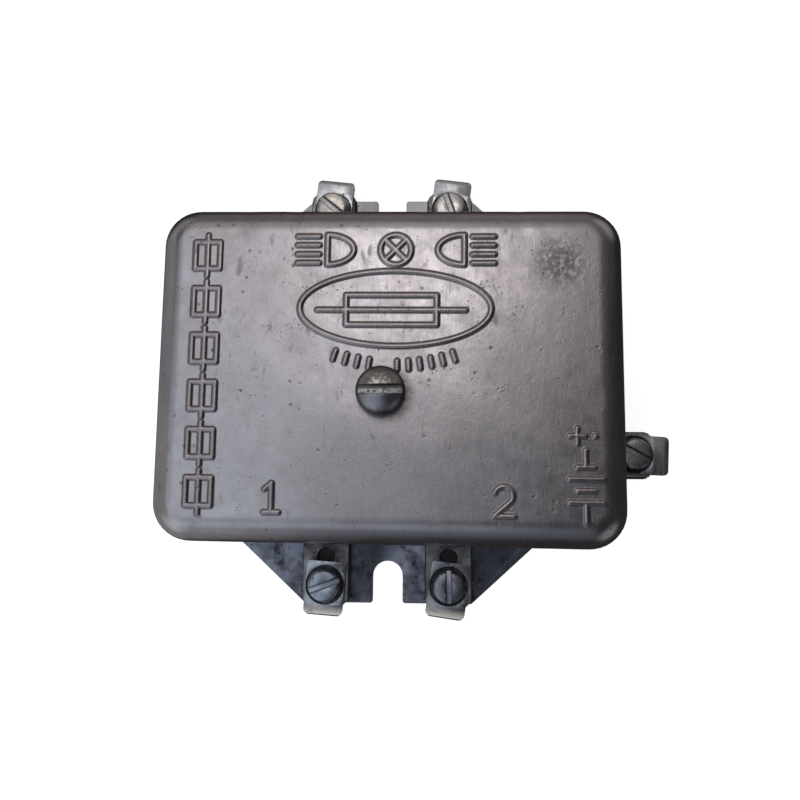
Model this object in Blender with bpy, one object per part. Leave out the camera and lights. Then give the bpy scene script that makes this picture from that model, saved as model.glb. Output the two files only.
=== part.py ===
"""Vehicle fuse box: a pressed steel cover over four glass fuses on an insulating board and a base plate.

The back of the base plate lies on the XY plane with the middle of the plate at the origin. +Z points out
of the face that carries the fuses and +Y along the line through the two open mounting slots. The supply
terminal leaves at +X, and its bus bar feeds four fuses whose outputs leave in pairs at +Y and -Y.

Sizes are in millimetres, and each mesh is scaled to metres when its object is made.
"""

import math

import bmesh
import bpy
from mathutils import Vector

MM = 0.001
GAP = 0.3
COARSE_STEPS = 12
ROUND_STEPS = 24

# Base plate: a sheet with an ear at each end and an open slot in each ear.
PLATE_THICKNESS = 1.2
PLATE_HALF_LENGTH = 52.0
PLATE_HALF_WIDTH = 50.0
EAR_HALF_WIDTH = 21.2
SLANT_RUN = 1.08
SLOT_RADIUS = 3.7
SLOT_DEPTH = 10.3

# Insulating board, which stands on the plate and carries every live piece.
BOARD_LOW = PLATE_THICKNESS + GAP
BOARD_HIGH = BOARD_LOW + 3.0
BOARD_X = (-52.0, 53.4)
BOARD_Y = (-35.3, 40.1)
BOARD_RADIUS = 9.0
TONGUE_WIDTH = 11.6
TONGUE_END = 4.7
TONGUE_CHAMFER = 1.2
BOARD_RIVETS = [(x, y) for x in (-40, 40) for y in (-27, 27)]

# Live strips and the bus bar, all of one sheet, lying on the board.
STRIP_LOW = BOARD_HIGH + GAP
STRIP_HIGH = STRIP_LOW + 1.0
STRIP_WIDTH = 11.0
STRIP_END = 4.95
STRIP_INNER_END = 26.5
STRIP_HOLE_BACK = 6.7
STRIP_HOLE_RADIUS = 2.2
BUS_HALF_WIDTH = 20.5
BUS_HALF_HEIGHT = 11.0
BUS_ARM_START = 9.5
BUS_POST_HOLE_RADIUS = 5.8

# Terminals: name, place, outward direction, skew of the clamp and angle of the screw slot, in degrees, and
# how far the clamp reaches beyond its screw.
TERMINAL_X = 15.0
TERMINAL_Y = 47.3
BATTERY_PLACE = (60.2, -15.0)
TERMINALS = [
    ("upper_left", (-TERMINAL_X, TERMINAL_Y), 90, -6, -39, 8.2),
    ("upper_right", (TERMINAL_X, TERMINAL_Y), 90, -7, -70, 8.4),
    ("lower_left", (-TERMINAL_X, -TERMINAL_Y), -90, -4, 20, 7.4),
    ("lower_right", (TERMINAL_X, -TERMINAL_Y), -90, -8, 91, 7.8),
    ("battery", BATTERY_PLACE, 0, -3, -29, 8.8),
]

# Wire clamp under each terminal screw, with its outer end turned down over the strip.
CLAMP_LOW = STRIP_HIGH + GAP
CLAMP_THICKNESS = 1.1
CLAMP_HIGH = CLAMP_LOW + CLAMP_THICKNESS
CLAMP_WIDTH = 9.5
CLAMP_LIP_WIDTH = 7.4
CLAMP_INNER_END = -5.6
CLAMP_BEND_RADIUS = 0.95
CLAMP_LIP_LOW = 4.7
CLAMP_HOLE_RADIUS = 2.3

# Terminal screw, M4 with a cheese head, and its square nut in a pocket of the board.
SCREW_HEAD_LOW = CLAMP_HIGH + GAP
SCREW_HEAD_HEIGHT = 3.0
SCREW_HEAD_RADIUS = 3.85
SCREW_SHANK_RADIUS = 1.8
SCREW_TIP = 2.7
SCREW_SLOT = (1.2, 1.3)
NUT_SIDE = 7.0
NUT_LOW = 2.5
NUT_HIGH = 4.5
NUT_BORE_RADIUS = 2.1
POCKET_SIDE = NUT_SIDE + 2 * GAP
POCKET_LOW = NUT_LOW - GAP

# Glass fuses, 6.35 mm by 30 mm, lying along Y in pairs of spring clips.
FUSE_X = TERMINAL_X
FUSE_CENTRE_Y = 19.0
FUSE_HALF_LENGTH = 15.0
FUSE_CAP_RADIUS = 3.175
FUSE_CAP_BORE = 2.8
FUSE_CAP_LENGTH = 6.0
FUSE_CAP_FLOOR = 0.6
GLASS_RADIUS = 2.5
GLASS_BORE = 1.9
CLIP_Y = (7.0, 31.0)
CLIP_LENGTH = 6.0
CLIP_THICKNESS = 0.5
CLIP_CORNER_RADIUS = 0.75
CLIP_TOP = 14.7
CLIP_FLARE = 0.9
CLIP_FLARE_HEIGHT = 1.5

# Rivets: shank radius, head radius and head height.
RIVET_SHANK = 1.3
RIVET_HEAD = 2.2
RIVET_HEAD_HEIGHT = 0.5
RIVET_FOOT = 3.0
CLIP_BASE_LOW = STRIP_HIGH + GAP
RIVET_HEAD_LOW = CLIP_BASE_LOW + CLIP_THICKNESS + GAP
FUSE_AXIS_Z = RIVET_HEAD_LOW + RIVET_HEAD_HEIGHT + GAP + FUSE_CAP_RADIUS
BOARD_RIVET_SHANK = 1.4
BOARD_RIVET_HEAD = 2.6
BOARD_RIVET_HEAD_HEIGHT = 0.9
BOARD_RIVET_FOOT = 0.1

# Cover: a deep drawn cap with notches in its rim for the terminals.
COVER_CENTRE = (0.7, 2.4)
COVER_SIZE = (110.0, 80.0)
COVER_LOW = PLATE_THICKNESS + GAP
COVER_HIGH = PLATE_THICKNESS + 24.0
COVER_SHEET = 0.9
COVER_CORNER_RADIUS = 9.2
COVER_SHOULDER_RADIUS = 6.0
COVER_DRAFT = 0.3
COVER_HOLE_RADIUS = 3.3
NOTCH_WIDTH = 13.5
NOTCH_HIGH = 10.4
NOTCH_REACH = 8.0

# Cover screw, M6 with a round head, its lock washer, and the threaded post that takes it.
POST_PLACE = (-1.1, -2.5)
POST_RADIUS = 4.5
POST_BORE_RADIUS = 3.1
POST_BORE_LOW = 13.0
POST_HIGH = COVER_HIGH - COVER_SHEET - GAP
POST_EDGE = 0.3
POST_HOLE_RADIUS = 4.9
WASHER_LOW = COVER_HIGH + GAP
WASHER_HIGH = WASHER_LOW + 0.9
WASHER_BORE_RADIUS = 3.1
WASHER_RADIUS = 5.0
WASHER_SLIT = 0.8
WASHER_SLIT_ANGLE = -35
COVER_SCREW_HEAD_LOW = WASHER_HIGH + GAP
COVER_SCREW_HEAD_HEIGHT = 3.5
COVER_SCREW_HEAD_RADIUS = 5.65
COVER_SCREW_SHANK_RADIUS = 2.8
COVER_SCREW_TIP = 16.0
COVER_SCREW_SLOT = (1.8, 1.6)


def clear_scene():
    for old in list(bpy.data.objects):
        bpy.data.objects.remove(old, do_unlink=True)


def material(name, colour, metallic, roughness):
    made = bpy.data.materials.new(name)
    made.use_nodes = True
    shader = made.node_tree.nodes["Principled BSDF"]
    shader.inputs["Base Color"].default_value = (*colour, 1.0)
    shader.inputs["Metallic"].default_value = metallic
    shader.inputs["Roughness"].default_value = roughness
    return made


def empty_at(name, place, turn=(0, 0, 0)):
    """An empty on a joint's axis, which the moving pieces hang on."""
    axis = bpy.data.objects.new(name, None)
    axis.location = Vector(place) * MM
    axis.rotation_euler = turn
    bpy.context.collection.objects.link(axis)
    return axis


def make_object(name, bm, finish=None, at=(0, 0, 0), turn=(0, 0, 0), parent=None):
    """Make an object of a bmesh drawn in millimetres, placed and turned within its parent."""
    bmesh.ops.recalc_face_normals(bm, faces=bm.faces)
    bmesh.ops.scale(bm, vec=(MM, MM, MM), verts=bm.verts)
    mesh = bpy.data.meshes.new(name)
    bm.to_mesh(mesh)
    bm.free()
    mesh.shade_smooth()
    mesh.set_sharp_from_angle(angle=math.radians(35))
    if finish:
        mesh.materials.append(finish)
    made = bpy.data.objects.new(name, mesh)
    made.location = Vector(at) * MM
    made.rotation_euler = turn
    made.parent = parent
    bpy.context.collection.objects.link(made)
    return made


def cut(target, bm, **place):
    """Take the closed shapes in a bmesh out of an object."""
    cutter = make_object(target.name + "_cutter", bm, **place)
    cutter.hide_render = True
    cutter.display_type = "WIRE"
    difference = target.modifiers.new("cut", "BOOLEAN")
    difference.operation = "DIFFERENCE"
    difference.solver = "EXACT"
    difference.object = cutter


def loft(bm, sections, closed=False):
    """Join sections, equal rings of points, into one closed shape with a flat face at each end."""
    rings = [[bm.verts.new(point) for point in section] for section in sections]
    count = len(rings[0])
    pairs = list(zip(rings, rings[1:]))
    if closed:
        pairs.append((rings[-1], rings[0]))
    else:
        bm.faces.new(reversed(rings[0]))
        bm.faces.new(rings[-1])
    for lower, upper in pairs:
        for i in range(count):
            j = (i + 1) % count
            bm.faces.new((lower[i], lower[j], upper[j], upper[i]))


def prism(bm, outline, low, high):
    loft(bm, [[(x, y, z) for x, y in outline] for z in (low, high)])


def box_outline(x_low, x_high, y_low, y_high):
    return [(x_low, y_low), (x_high, y_low), (x_high, y_high), (x_low, y_high)]


def arc(centre, radius, start, end, steps):
    """Points of an arc, with its angles in degrees."""
    angles = [math.radians(start + (end - start) * i / steps) for i in range(steps + 1)]
    return [(centre[0] + radius * math.cos(a), centre[1] + radius * math.sin(a)) for a in angles]


def circle(centre, radius, steps=COARSE_STEPS):
    return arc(centre, radius, 0, 360, steps)[:-1]


def add_holes(bm, places, radius, low, high, steps=COARSE_STEPS):
    for place in places:
        prism(bm, circle(place, radius, steps), low, high)


def turned(profile, steps=ROUND_STEPS, closed=False):
    """A shape turned about Z from (radius, height) points. Closed joins the last point to the first."""
    bm = bmesh.new()
    rings = []
    for radius, height in profile:
        if radius == 0:
            rings.append([bm.verts.new((0, 0, height))])
        else:
            rings.append([bm.verts.new((x, y, height)) for x, y in circle((0, 0), radius, steps)])
    pairs = list(zip(rings, rings[1:]))
    if closed:
        pairs.append((rings[-1], rings[0]))
    for lower, upper in pairs:
        for i in range(steps):
            j = i + 1
            corners = [ring[k % len(ring)] for ring, k in ((lower, i), (lower, j), (upper, j), (upper, i))]
            bm.faces.new(dict.fromkeys(corners))
    return bm


def bent_strip(path, widths, thickness):
    """A strip of sheet bent along (x, z) points of its middle layer, with its width in Y at each point."""
    points = [Vector(point) for point in path]
    runs = [(b - a).normalized() for a, b in zip(points, points[1:])]
    sections = []
    for i, (point, width) in enumerate(zip(points, widths)):
        before = runs[max(i - 1, 0)]
        after = runs[min(i, len(runs) - 1)]
        along = (before + after).normalized()
        side = Vector((-along.y, along.x)) * (thickness / 2 / along.dot(before))
        outer = point + side
        inner = point - side
        half = width / 2
        corners = [(outer, -half), (outer, half), (inner, half), (inner, -half)]
        sections.append([(corner.x, y, corner.y) for corner, y in corners])
    bm = bmesh.new()
    loft(bm, sections)
    return bm


def outward(place, angle, along, across):
    """The point that lies along a terminal's outward direction, and across it, from its screw."""
    turn = math.radians(angle)
    return (
        place[0] + along * math.cos(turn) - across * math.sin(turn),
        place[1] + along * math.sin(turn) + across * math.cos(turn),
    )


def strip_end_outline(place, angle, start, end, width):
    """Outline points of a strip from start to its chamfered end, anticlockwise, without the inner side."""
    half = width / 2
    near = half - TONGUE_CHAMFER
    corners = [(start, -half), (end - TONGUE_CHAMFER, -half), (end, -near)]
    corners += [(along, -across) for along, across in reversed(corners)]
    return [outward(place, angle, along, across) for along, across in corners]


def terminal(name):
    return next(entry for entry in TERMINALS if entry[0] == name)


def make_base_plate(finish):
    slot_floor = PLATE_HALF_LENGTH - SLOT_DEPTH + SLOT_RADIUS
    side_y = PLATE_HALF_LENGTH - (PLATE_HALF_WIDTH - EAR_HALF_WIDTH) / SLANT_RUN
    lower_ear = [(-EAR_HALF_WIDTH, -PLATE_HALF_LENGTH), (-SLOT_RADIUS, -PLATE_HALF_LENGTH)]
    lower_ear += arc((0, -slot_floor), SLOT_RADIUS, 180, 0, COARSE_STEPS)
    lower_ear += [(SLOT_RADIUS, -PLATE_HALF_LENGTH), (EAR_HALF_WIDTH, -PLATE_HALF_LENGTH)]
    half = lower_ear + [(PLATE_HALF_WIDTH, -side_y), (PLATE_HALF_WIDTH, side_y)]
    outline = half + [(-x, -y) for x, y in half]
    bm = bmesh.new()
    prism(bm, outline, 0, PLATE_THICKNESS)
    plate = make_object("base_plate", bm, finish)
    holes = bmesh.new()
    add_holes(holes, BOARD_RIVETS, BOARD_RIVET_SHANK + GAP, -1, PLATE_THICKNESS + 1)
    cut(plate, holes)


def make_board(finish):
    corners = [
        arc((BOARD_X[0] + BOARD_RADIUS, BOARD_Y[0] + BOARD_RADIUS), BOARD_RADIUS, 180, 270, 5),
        arc((BOARD_X[1] - BOARD_RADIUS, BOARD_Y[0] + BOARD_RADIUS), BOARD_RADIUS, 270, 360, 5),
        arc((BOARD_X[1] - BOARD_RADIUS, BOARD_Y[1] - BOARD_RADIUS), BOARD_RADIUS, 0, 90, 5),
        arc((BOARD_X[0] + BOARD_RADIUS, BOARD_Y[1] - BOARD_RADIUS), BOARD_RADIUS, 90, 180, 5),
    ]
    sides = [("lower_left", "lower_right"), ("battery",), ("upper_right", "upper_left"), ()]
    edges = {-90: BOARD_Y[0], 90: BOARD_Y[1], 0: BOARD_X[1]}
    outline = []
    for corner, names in zip(corners, sides):
        outline += corner
        for name in names:
            _, place, angle, *_ = terminal(name)
            distance = place[0] if angle == 0 else abs(place[1])
            start = abs(edges[angle]) - distance
            outline += strip_end_outline(place, angle, start, TONGUE_END, TONGUE_WIDTH)
    bm = bmesh.new()
    prism(bm, outline, BOARD_LOW, BOARD_HIGH)
    board = make_object("insulator_board", bm, finish)
    holes = bmesh.new()
    through = (BOARD_LOW - 1, BOARD_HIGH + 1)
    add_holes(holes, [POST_PLACE], POST_HOLE_RADIUS, *through, steps=ROUND_STEPS)
    add_holes(holes, BOARD_RIVETS, BOARD_RIVET_SHANK + GAP, *through)
    add_holes(holes, clip_places(), RIVET_SHANK + GAP, *through)
    half = POCKET_SIDE / 2
    for _, (x, y), *_ in TERMINALS:
        prism(holes, box_outline(x - half, x + half, y - half, y + half), POCKET_LOW, BOARD_HIGH + 1)
    cut(board, holes)


def clip_places():
    return [(x, side * y) for side in (1, -1) for x in (-FUSE_X, FUSE_X) for y in CLIP_Y]


def make_strips(finish):
    through = (STRIP_LOW - 1, STRIP_HIGH + 1)
    for name, place, angle, *_ in TERMINALS:
        if name == "battery":
            continue
        start = STRIP_INNER_END - TERMINAL_Y
        bm = bmesh.new()
        prism(bm, strip_end_outline(place, angle, start, STRIP_END, STRIP_WIDTH), STRIP_LOW, STRIP_HIGH)
        strip = make_object("terminal_strip_" + name, bm, finish)
        holes = bmesh.new()
        add_holes(holes, [place], CLAMP_HOLE_RADIUS, *through, steps=ROUND_STEPS)
        back = outward(place, angle, -STRIP_HOLE_BACK, 0)
        add_holes(holes, [back], STRIP_HOLE_RADIUS, *through, steps=ROUND_STEPS)
        rivet = outward(place, angle, CLIP_Y[1] - TERMINAL_Y, 0)
        add_holes(holes, [rivet], RIVET_SHANK + GAP, *through)
        cut(strip, holes)


def make_bus_bar(finish):
    _, place, angle, *_ = terminal("battery")
    arm_low = place[1] - STRIP_WIDTH / 2
    arm = strip_end_outline(place, angle, BUS_HALF_WIDTH - place[0], STRIP_END, STRIP_WIDTH)
    outline = [
        (-BUS_HALF_WIDTH, -BUS_HALF_HEIGHT),
        (BUS_ARM_START, -BUS_HALF_HEIGHT),
        (BUS_ARM_START, arm_low),
        *arm[1:],
        (BUS_HALF_WIDTH, BUS_HALF_HEIGHT),
        (-BUS_HALF_WIDTH, BUS_HALF_HEIGHT),
    ]
    bm = bmesh.new()
    prism(bm, outline, STRIP_LOW, STRIP_HIGH)
    bus = make_object("bus_bar", bm, finish)
    through = (STRIP_LOW - 1, STRIP_HIGH + 1)
    holes = bmesh.new()
    add_holes(holes, [POST_PLACE], BUS_POST_HOLE_RADIUS, *through, steps=ROUND_STEPS)
    add_holes(holes, [place], CLAMP_HOLE_RADIUS, *through, steps=ROUND_STEPS)
    back = outward(place, angle, -STRIP_HOLE_BACK, 0)
    add_holes(holes, [back], STRIP_HOLE_RADIUS, *through, steps=ROUND_STEPS)
    inner = [place for place in clip_places() if abs(place[1]) == CLIP_Y[0]]
    add_holes(holes, inner, RIVET_SHANK + GAP, *through)
    cut(bus, holes)


def make_clamp(name, axis, angle, skew, reach, finish):
    middle = (CLAMP_LOW + CLAMP_HIGH) / 2
    bend_x = reach - CLAMP_THICKNESS / 2 - CLAMP_BEND_RADIUS
    bend = arc((bend_x, middle - CLAMP_BEND_RADIUS), CLAMP_BEND_RADIUS, 90, 0, 4)
    path = [(CLAMP_INNER_END, middle), (CLAMP_INNER_END + 0.6, middle), *bend]
    path.append((bend[-1][0], CLAMP_LIP_LOW))
    taper = (CLAMP_WIDTH - CLAMP_LIP_WIDTH) / (len(bend) - 1)
    widths = [CLAMP_WIDTH - 0.8, CLAMP_WIDTH, *(CLAMP_WIDTH - taper * i for i in range(len(bend)))]
    widths.append(CLAMP_LIP_WIDTH)
    turn = (0, 0, math.radians(angle + skew))
    clamp = make_object("clamp_" + name, bent_strip(path, widths, CLAMP_THICKNESS), finish,
                        turn=turn, parent=axis)
    hole = bmesh.new()
    add_holes(hole, [(0, 0)], CLAMP_HOLE_RADIUS, CLAMP_LOW - 1, CLAMP_HIGH + 1, steps=ROUND_STEPS)
    cut(clamp, hole, turn=turn, parent=axis)


def make_slotted_screw(name, profile, head_high, radius, slot, finish, **place):
    """A turned screw with a straight slot of (width, depth) along its local X."""
    screw = make_object(name, turned(profile), finish, **place)
    width, depth = slot
    bm = bmesh.new()
    reach = radius + 1
    prism(bm, box_outline(-reach, reach, -width / 2, width / 2), head_high - depth, head_high + 1)
    cut(screw, bm, **place)


def make_terminal_screw(name, axis, slot_angle, finish):
    high = SCREW_HEAD_LOW + SCREW_HEAD_HEIGHT
    profile = [
        (0, SCREW_TIP),
        (SCREW_SHANK_RADIUS - 0.3, SCREW_TIP),
        (SCREW_SHANK_RADIUS, SCREW_TIP + 0.4),
        (SCREW_SHANK_RADIUS, SCREW_HEAD_LOW),
        (SCREW_HEAD_RADIUS, SCREW_HEAD_LOW),
        (SCREW_HEAD_RADIUS, high - 0.8),
        (SCREW_HEAD_RADIUS - 0.25, high - 0.35),
        (SCREW_HEAD_RADIUS - 0.8, high - 0.1),
        (0, high),
    ]
    make_slotted_screw("terminal_screw_" + name, profile, high, SCREW_HEAD_RADIUS, SCREW_SLOT, finish,
                       turn=(0, 0, math.radians(slot_angle)), parent=axis)


def make_nut(name, place, finish):
    half = NUT_SIDE / 2
    bm = bmesh.new()
    prism(bm, box_outline(-half, half, -half, half), NUT_LOW, NUT_HIGH)
    nut = make_object("terminal_nut_" + name, bm, finish, at=(*place, 0))
    bore = bmesh.new()
    add_holes(bore, [(0, 0)], NUT_BORE_RADIUS, NUT_LOW - 1, NUT_HIGH + 1)
    cut(nut, bore, at=(*place, 0))


def make_terminals(clamp_finish, screw_finish, nut_finish):
    for name, place, angle, skew, slot_angle, reach in TERMINALS:
        axis = empty_at("terminal_axis_" + name, (*place, 0))
        make_clamp(name, axis, angle, skew, reach, clamp_finish)
        make_terminal_screw(name, axis, slot_angle, screw_finish)
        make_nut(name, place, nut_finish)


def make_clip(name, place, finish):
    middle_low = CLIP_BASE_LOW + CLIP_THICKNESS / 2
    half = FUSE_CAP_RADIUS + GAP + CLIP_THICKNESS / 2
    corner = (half - CLIP_CORNER_RADIUS, middle_low + CLIP_CORNER_RADIUS)
    right = arc(corner, CLIP_CORNER_RADIUS, -90, 0, 3)
    right.append((half, CLIP_TOP - CLIP_FLARE_HEIGHT))
    right.append((half + CLIP_FLARE, CLIP_TOP))
    path = [(-x, z) for x, z in reversed(right)] + right
    clip = make_object(name, bent_strip(path, [CLIP_LENGTH] * len(path), CLIP_THICKNESS), finish,
                       at=(*place, 0))
    hole = bmesh.new()
    add_holes(hole, [(0, 0)], RIVET_SHANK + GAP, CLIP_BASE_LOW - 1, RIVET_HEAD_LOW)
    cut(clip, hole, at=(*place, 0))


def make_rivet(name, place, foot, head_low, shank_radius, head_radius, head_height, finish):
    profile = [
        (0, foot),
        (shank_radius, foot),
        (shank_radius, head_low),
        (head_radius, head_low),
        (head_radius - 0.15, head_low + head_height * 0.6),
        (head_radius * 0.5, head_low + head_height * 0.95),
        (0, head_low + head_height),
    ]
    make_object(name, turned(profile, COARSE_STEPS), finish, at=(*place, 0))


def make_clips_and_rivets(clip_finish, rivet_finish):
    for x, y in clip_places():
        side = ("upper" if y > 0 else "lower") + ("_left" if x < 0 else "_right")
        end = "inner" if abs(y) == CLIP_Y[0] else "outer"
        label = side + "_" + end
        make_clip("fuse_clip_" + label, (x, y), clip_finish)
        make_rivet("clip_rivet_" + label, (x, y), RIVET_FOOT, RIVET_HEAD_LOW, RIVET_SHANK, RIVET_HEAD,
                   RIVET_HEAD_HEIGHT, rivet_finish)
    for number, place in enumerate(BOARD_RIVETS, 1):
        make_rivet(f"board_rivet_{number}", place, BOARD_RIVET_FOOT, BOARD_HIGH + GAP, BOARD_RIVET_SHANK,
                   BOARD_RIVET_HEAD, BOARD_RIVET_HEAD_HEIGHT, rivet_finish)


def make_fuses(glass, cap_finish):
    """Each fuse hangs on an empty at its middle, whose local Z runs along the fuse."""
    glass_end = FUSE_HALF_LENGTH - FUSE_CAP_FLOOR - GAP
    tube = [(GLASS_BORE, -glass_end), (GLASS_RADIUS, -glass_end), (GLASS_RADIUS, glass_end),
            (GLASS_BORE, glass_end)]
    mouth = FUSE_HALF_LENGTH - FUSE_CAP_LENGTH
    floor = FUSE_HALF_LENGTH - FUSE_CAP_FLOOR
    cup = [
        (0, FUSE_HALF_LENGTH),
        (FUSE_CAP_RADIUS - 0.3, FUSE_HALF_LENGTH),
        (FUSE_CAP_RADIUS, FUSE_HALF_LENGTH - 0.3),
        (FUSE_CAP_RADIUS, mouth),
        (FUSE_CAP_BORE, mouth),
        (FUSE_CAP_BORE, floor),
        (0, floor),
    ]
    for side, y in (("upper", FUSE_CENTRE_Y), ("lower", -FUSE_CENTRE_Y)):
        for hand, x in (("left", -FUSE_X), ("right", FUSE_X)):
            label = f"{side}_{hand}"
            axis = empty_at("fuse_axis_" + label, (x, y, FUSE_AXIS_Z), turn=(math.radians(-90), 0, 0))
            make_object("fuse_glass_" + label, turned(tube, 16, closed=True), glass, parent=axis)
            for end, flip in (("a", 0), ("b", math.pi)):
                make_object(f"fuse_cap_{label}_{end}", turned(cup, 16), cap_finish,
                            turn=(flip, 0, 0), parent=axis)


def cover_sections(inset, low, high, shoulder):
    """Rounded rectangles up the wall and over the shoulder of the cover, inset from its outer skin."""
    wall_high = high - shoulder
    levels = [(0, low), (COVER_DRAFT, wall_high)]
    for step in range(1, 6):
        angle = math.radians(18 * step)
        levels.append((COVER_DRAFT + shoulder * (1 - math.cos(angle)), wall_high + shoulder * math.sin(angle)))
    sections = []
    for extra, z in levels:
        half_x = COVER_SIZE[0] / 2 - inset - extra
        half_y = COVER_SIZE[1] / 2 - inset - extra
        radius = COVER_CORNER_RADIUS - inset - extra
        outline = []
        for quarter, (sx, sy) in enumerate(((1, 1), (-1, 1), (-1, -1), (1, -1))):
            middle = (COVER_CENTRE[0] + sx * (half_x - radius), COVER_CENTRE[1] + sy * (half_y - radius))
            outline += arc(middle, radius, 90 * quarter, 90 * quarter + 90, 8)
        sections.append([(x, y, z) for x, y in outline])
    return sections


def make_cover(finish):
    bm = bmesh.new()
    loft(bm, cover_sections(0, COVER_LOW, COVER_HIGH, COVER_SHOULDER_RADIUS))
    cover = make_object("cover", bm, finish)
    hollow = bmesh.new()
    inner_shoulder = COVER_SHOULDER_RADIUS - COVER_SHEET
    loft(hollow, cover_sections(COVER_SHEET, COVER_LOW - 1, COVER_HIGH - COVER_SHEET, inner_shoulder))
    cut(cover, hollow)
    openings = bmesh.new()
    half = NOTCH_WIDTH / 2
    for name, (x, y), angle, *_ in TERMINALS:
        if angle == 0:
            wall = COVER_CENTRE[0] + COVER_SIZE[0] / 2
            outline = box_outline(wall - NOTCH_REACH, wall + NOTCH_REACH, y - half, y + half)
        else:
            wall = COVER_CENTRE[1] + math.copysign(COVER_SIZE[1] / 2, y)
            outline = box_outline(x - half, x + half, wall - NOTCH_REACH, wall + NOTCH_REACH)
        prism(openings, outline, COVER_LOW - 1, NOTCH_HIGH)
    add_holes(openings, [POST_PLACE], COVER_HOLE_RADIUS, COVER_HIGH - 3, COVER_HIGH + 1, steps=ROUND_STEPS)
    cut(cover, openings)


def make_post(finish):
    profile = [
        (0, BOARD_LOW),
        (POST_RADIUS, BOARD_LOW),
        (POST_RADIUS, POST_HIGH - POST_EDGE),
        (POST_RADIUS - POST_EDGE, POST_HIGH),
        (POST_BORE_RADIUS, POST_HIGH),
        (POST_BORE_RADIUS, POST_BORE_LOW),
        (0, POST_BORE_LOW),
    ]
    make_object("cover_post", turned(profile), finish, at=(*POST_PLACE, 0))


def make_cover_fastening(finish):
    axis = empty_at("cover_screw_axis", (*POST_PLACE, 0))
    ring = [(WASHER_BORE_RADIUS, WASHER_LOW), (WASHER_RADIUS, WASHER_LOW), (WASHER_RADIUS, WASHER_HIGH),
            (WASHER_BORE_RADIUS, WASHER_HIGH)]
    washer = make_object("cover_washer", turned(ring, closed=True), finish, parent=axis)
    slit = bmesh.new()
    half = WASHER_SLIT / 2
    prism(slit, box_outline(0.5, WASHER_RADIUS + 1, -half, half), WASHER_LOW - 1, WASHER_HIGH + 1)
    cut(washer, slit, turn=(0, 0, math.radians(WASHER_SLIT_ANGLE)), parent=axis)
    low = COVER_SCREW_HEAD_LOW
    high = low + COVER_SCREW_HEAD_HEIGHT
    edge = 0.9
    dome = [(COVER_SCREW_HEAD_RADIUS * math.cos(a), low + edge + (high - low - edge) * math.sin(a))
            for a in (math.radians(15 * step) for step in range(6))]
    profile = [
        (0, COVER_SCREW_TIP),
        (COVER_SCREW_SHANK_RADIUS - 0.5, COVER_SCREW_TIP),
        (COVER_SCREW_SHANK_RADIUS, COVER_SCREW_TIP + 0.6),
        (COVER_SCREW_SHANK_RADIUS, low),
        (COVER_SCREW_HEAD_RADIUS - 0.2, low),
        *dome,
        (0, high),
    ]
    make_slotted_screw("cover_screw", profile, high, COVER_SCREW_HEAD_RADIUS, COVER_SCREW_SLOT, finish,
                       parent=axis)


def build():
    clear_scene()
    plated = material("plated_steel", (0.42, 0.45, 0.50), 1.0, 0.45)
    cover_steel = material("cover_steel", (0.40, 0.37, 0.39), 1.0, 0.42)
    strip_metal = material("tinned_brass", (0.48, 0.46, 0.42), 1.0, 0.40)
    bright = material("zinc_plate", (0.62, 0.62, 0.63), 1.0, 0.32)
    clamp_metal = material("clamp_zinc", (0.55, 0.57, 0.60), 1.0, 0.36)
    brass = material("brass", (0.62, 0.48, 0.26), 1.0, 0.35)
    spring_brass = material("spring_brass", (0.66, 0.56, 0.36), 1.0, 0.30)
    nickel = material("nickel_cap", (0.66, 0.64, 0.60), 1.0, 0.25)
    phenolic = material("phenolic_board", (0.050, 0.028, 0.018), 0.0, 0.55)
    glass = material("fuse_glass", (0.85, 0.90, 0.90), 0.0, 0.05)
    make_base_plate(plated)
    make_board(phenolic)
    make_strips(strip_metal)
    make_bus_bar(strip_metal)
    make_terminals(clamp_metal, bright, brass)
    make_clips_and_rivets(spring_brass, brass)
    make_fuses(glass, nickel)
    make_post(plated)
    make_cover(cover_steel)
    make_cover_fastening(bright)


build()
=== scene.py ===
"""Looks of the vehicle fuse box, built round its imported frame.

Lengths are in millimetres in the frame's own axes unless a comment says otherwise, and a mesh is scaled to
metres when its piece is made. +Z points out of the cover's face, and +Y runs along the line through the
mounting slots.
"""

import math
from collections import namedtuple

import bmesh
import bpy
import numpy as np
from mathutils import Matrix, Vector


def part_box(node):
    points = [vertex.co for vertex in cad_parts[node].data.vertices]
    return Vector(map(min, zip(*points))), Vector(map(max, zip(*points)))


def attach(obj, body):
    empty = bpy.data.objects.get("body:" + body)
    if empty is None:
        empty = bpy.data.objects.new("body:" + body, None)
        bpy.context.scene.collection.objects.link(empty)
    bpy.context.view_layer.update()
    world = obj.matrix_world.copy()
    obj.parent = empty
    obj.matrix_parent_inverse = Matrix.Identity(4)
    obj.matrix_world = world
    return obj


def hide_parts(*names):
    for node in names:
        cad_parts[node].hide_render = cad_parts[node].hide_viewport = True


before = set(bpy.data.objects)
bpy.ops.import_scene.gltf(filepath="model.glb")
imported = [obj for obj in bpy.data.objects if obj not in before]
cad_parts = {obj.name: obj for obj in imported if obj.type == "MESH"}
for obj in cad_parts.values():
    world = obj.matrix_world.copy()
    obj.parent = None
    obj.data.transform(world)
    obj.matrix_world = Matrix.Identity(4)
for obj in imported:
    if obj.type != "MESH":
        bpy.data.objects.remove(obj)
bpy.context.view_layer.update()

MM = 0.001

# Gap in metres between the plate's back and the floor.
FLOOR_GAP = 0.00002

# Camera, in metres: close above the face, a little below its middle and to the right.
CAMERA_PLACE = (0.00972, -0.03124, 0.2188)
CAMERA_TARGET = (0.00255, -0.00110, 0.00120)
CAMERA_ROLL = -0.011
CAMERA_LENS = 38.6

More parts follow.
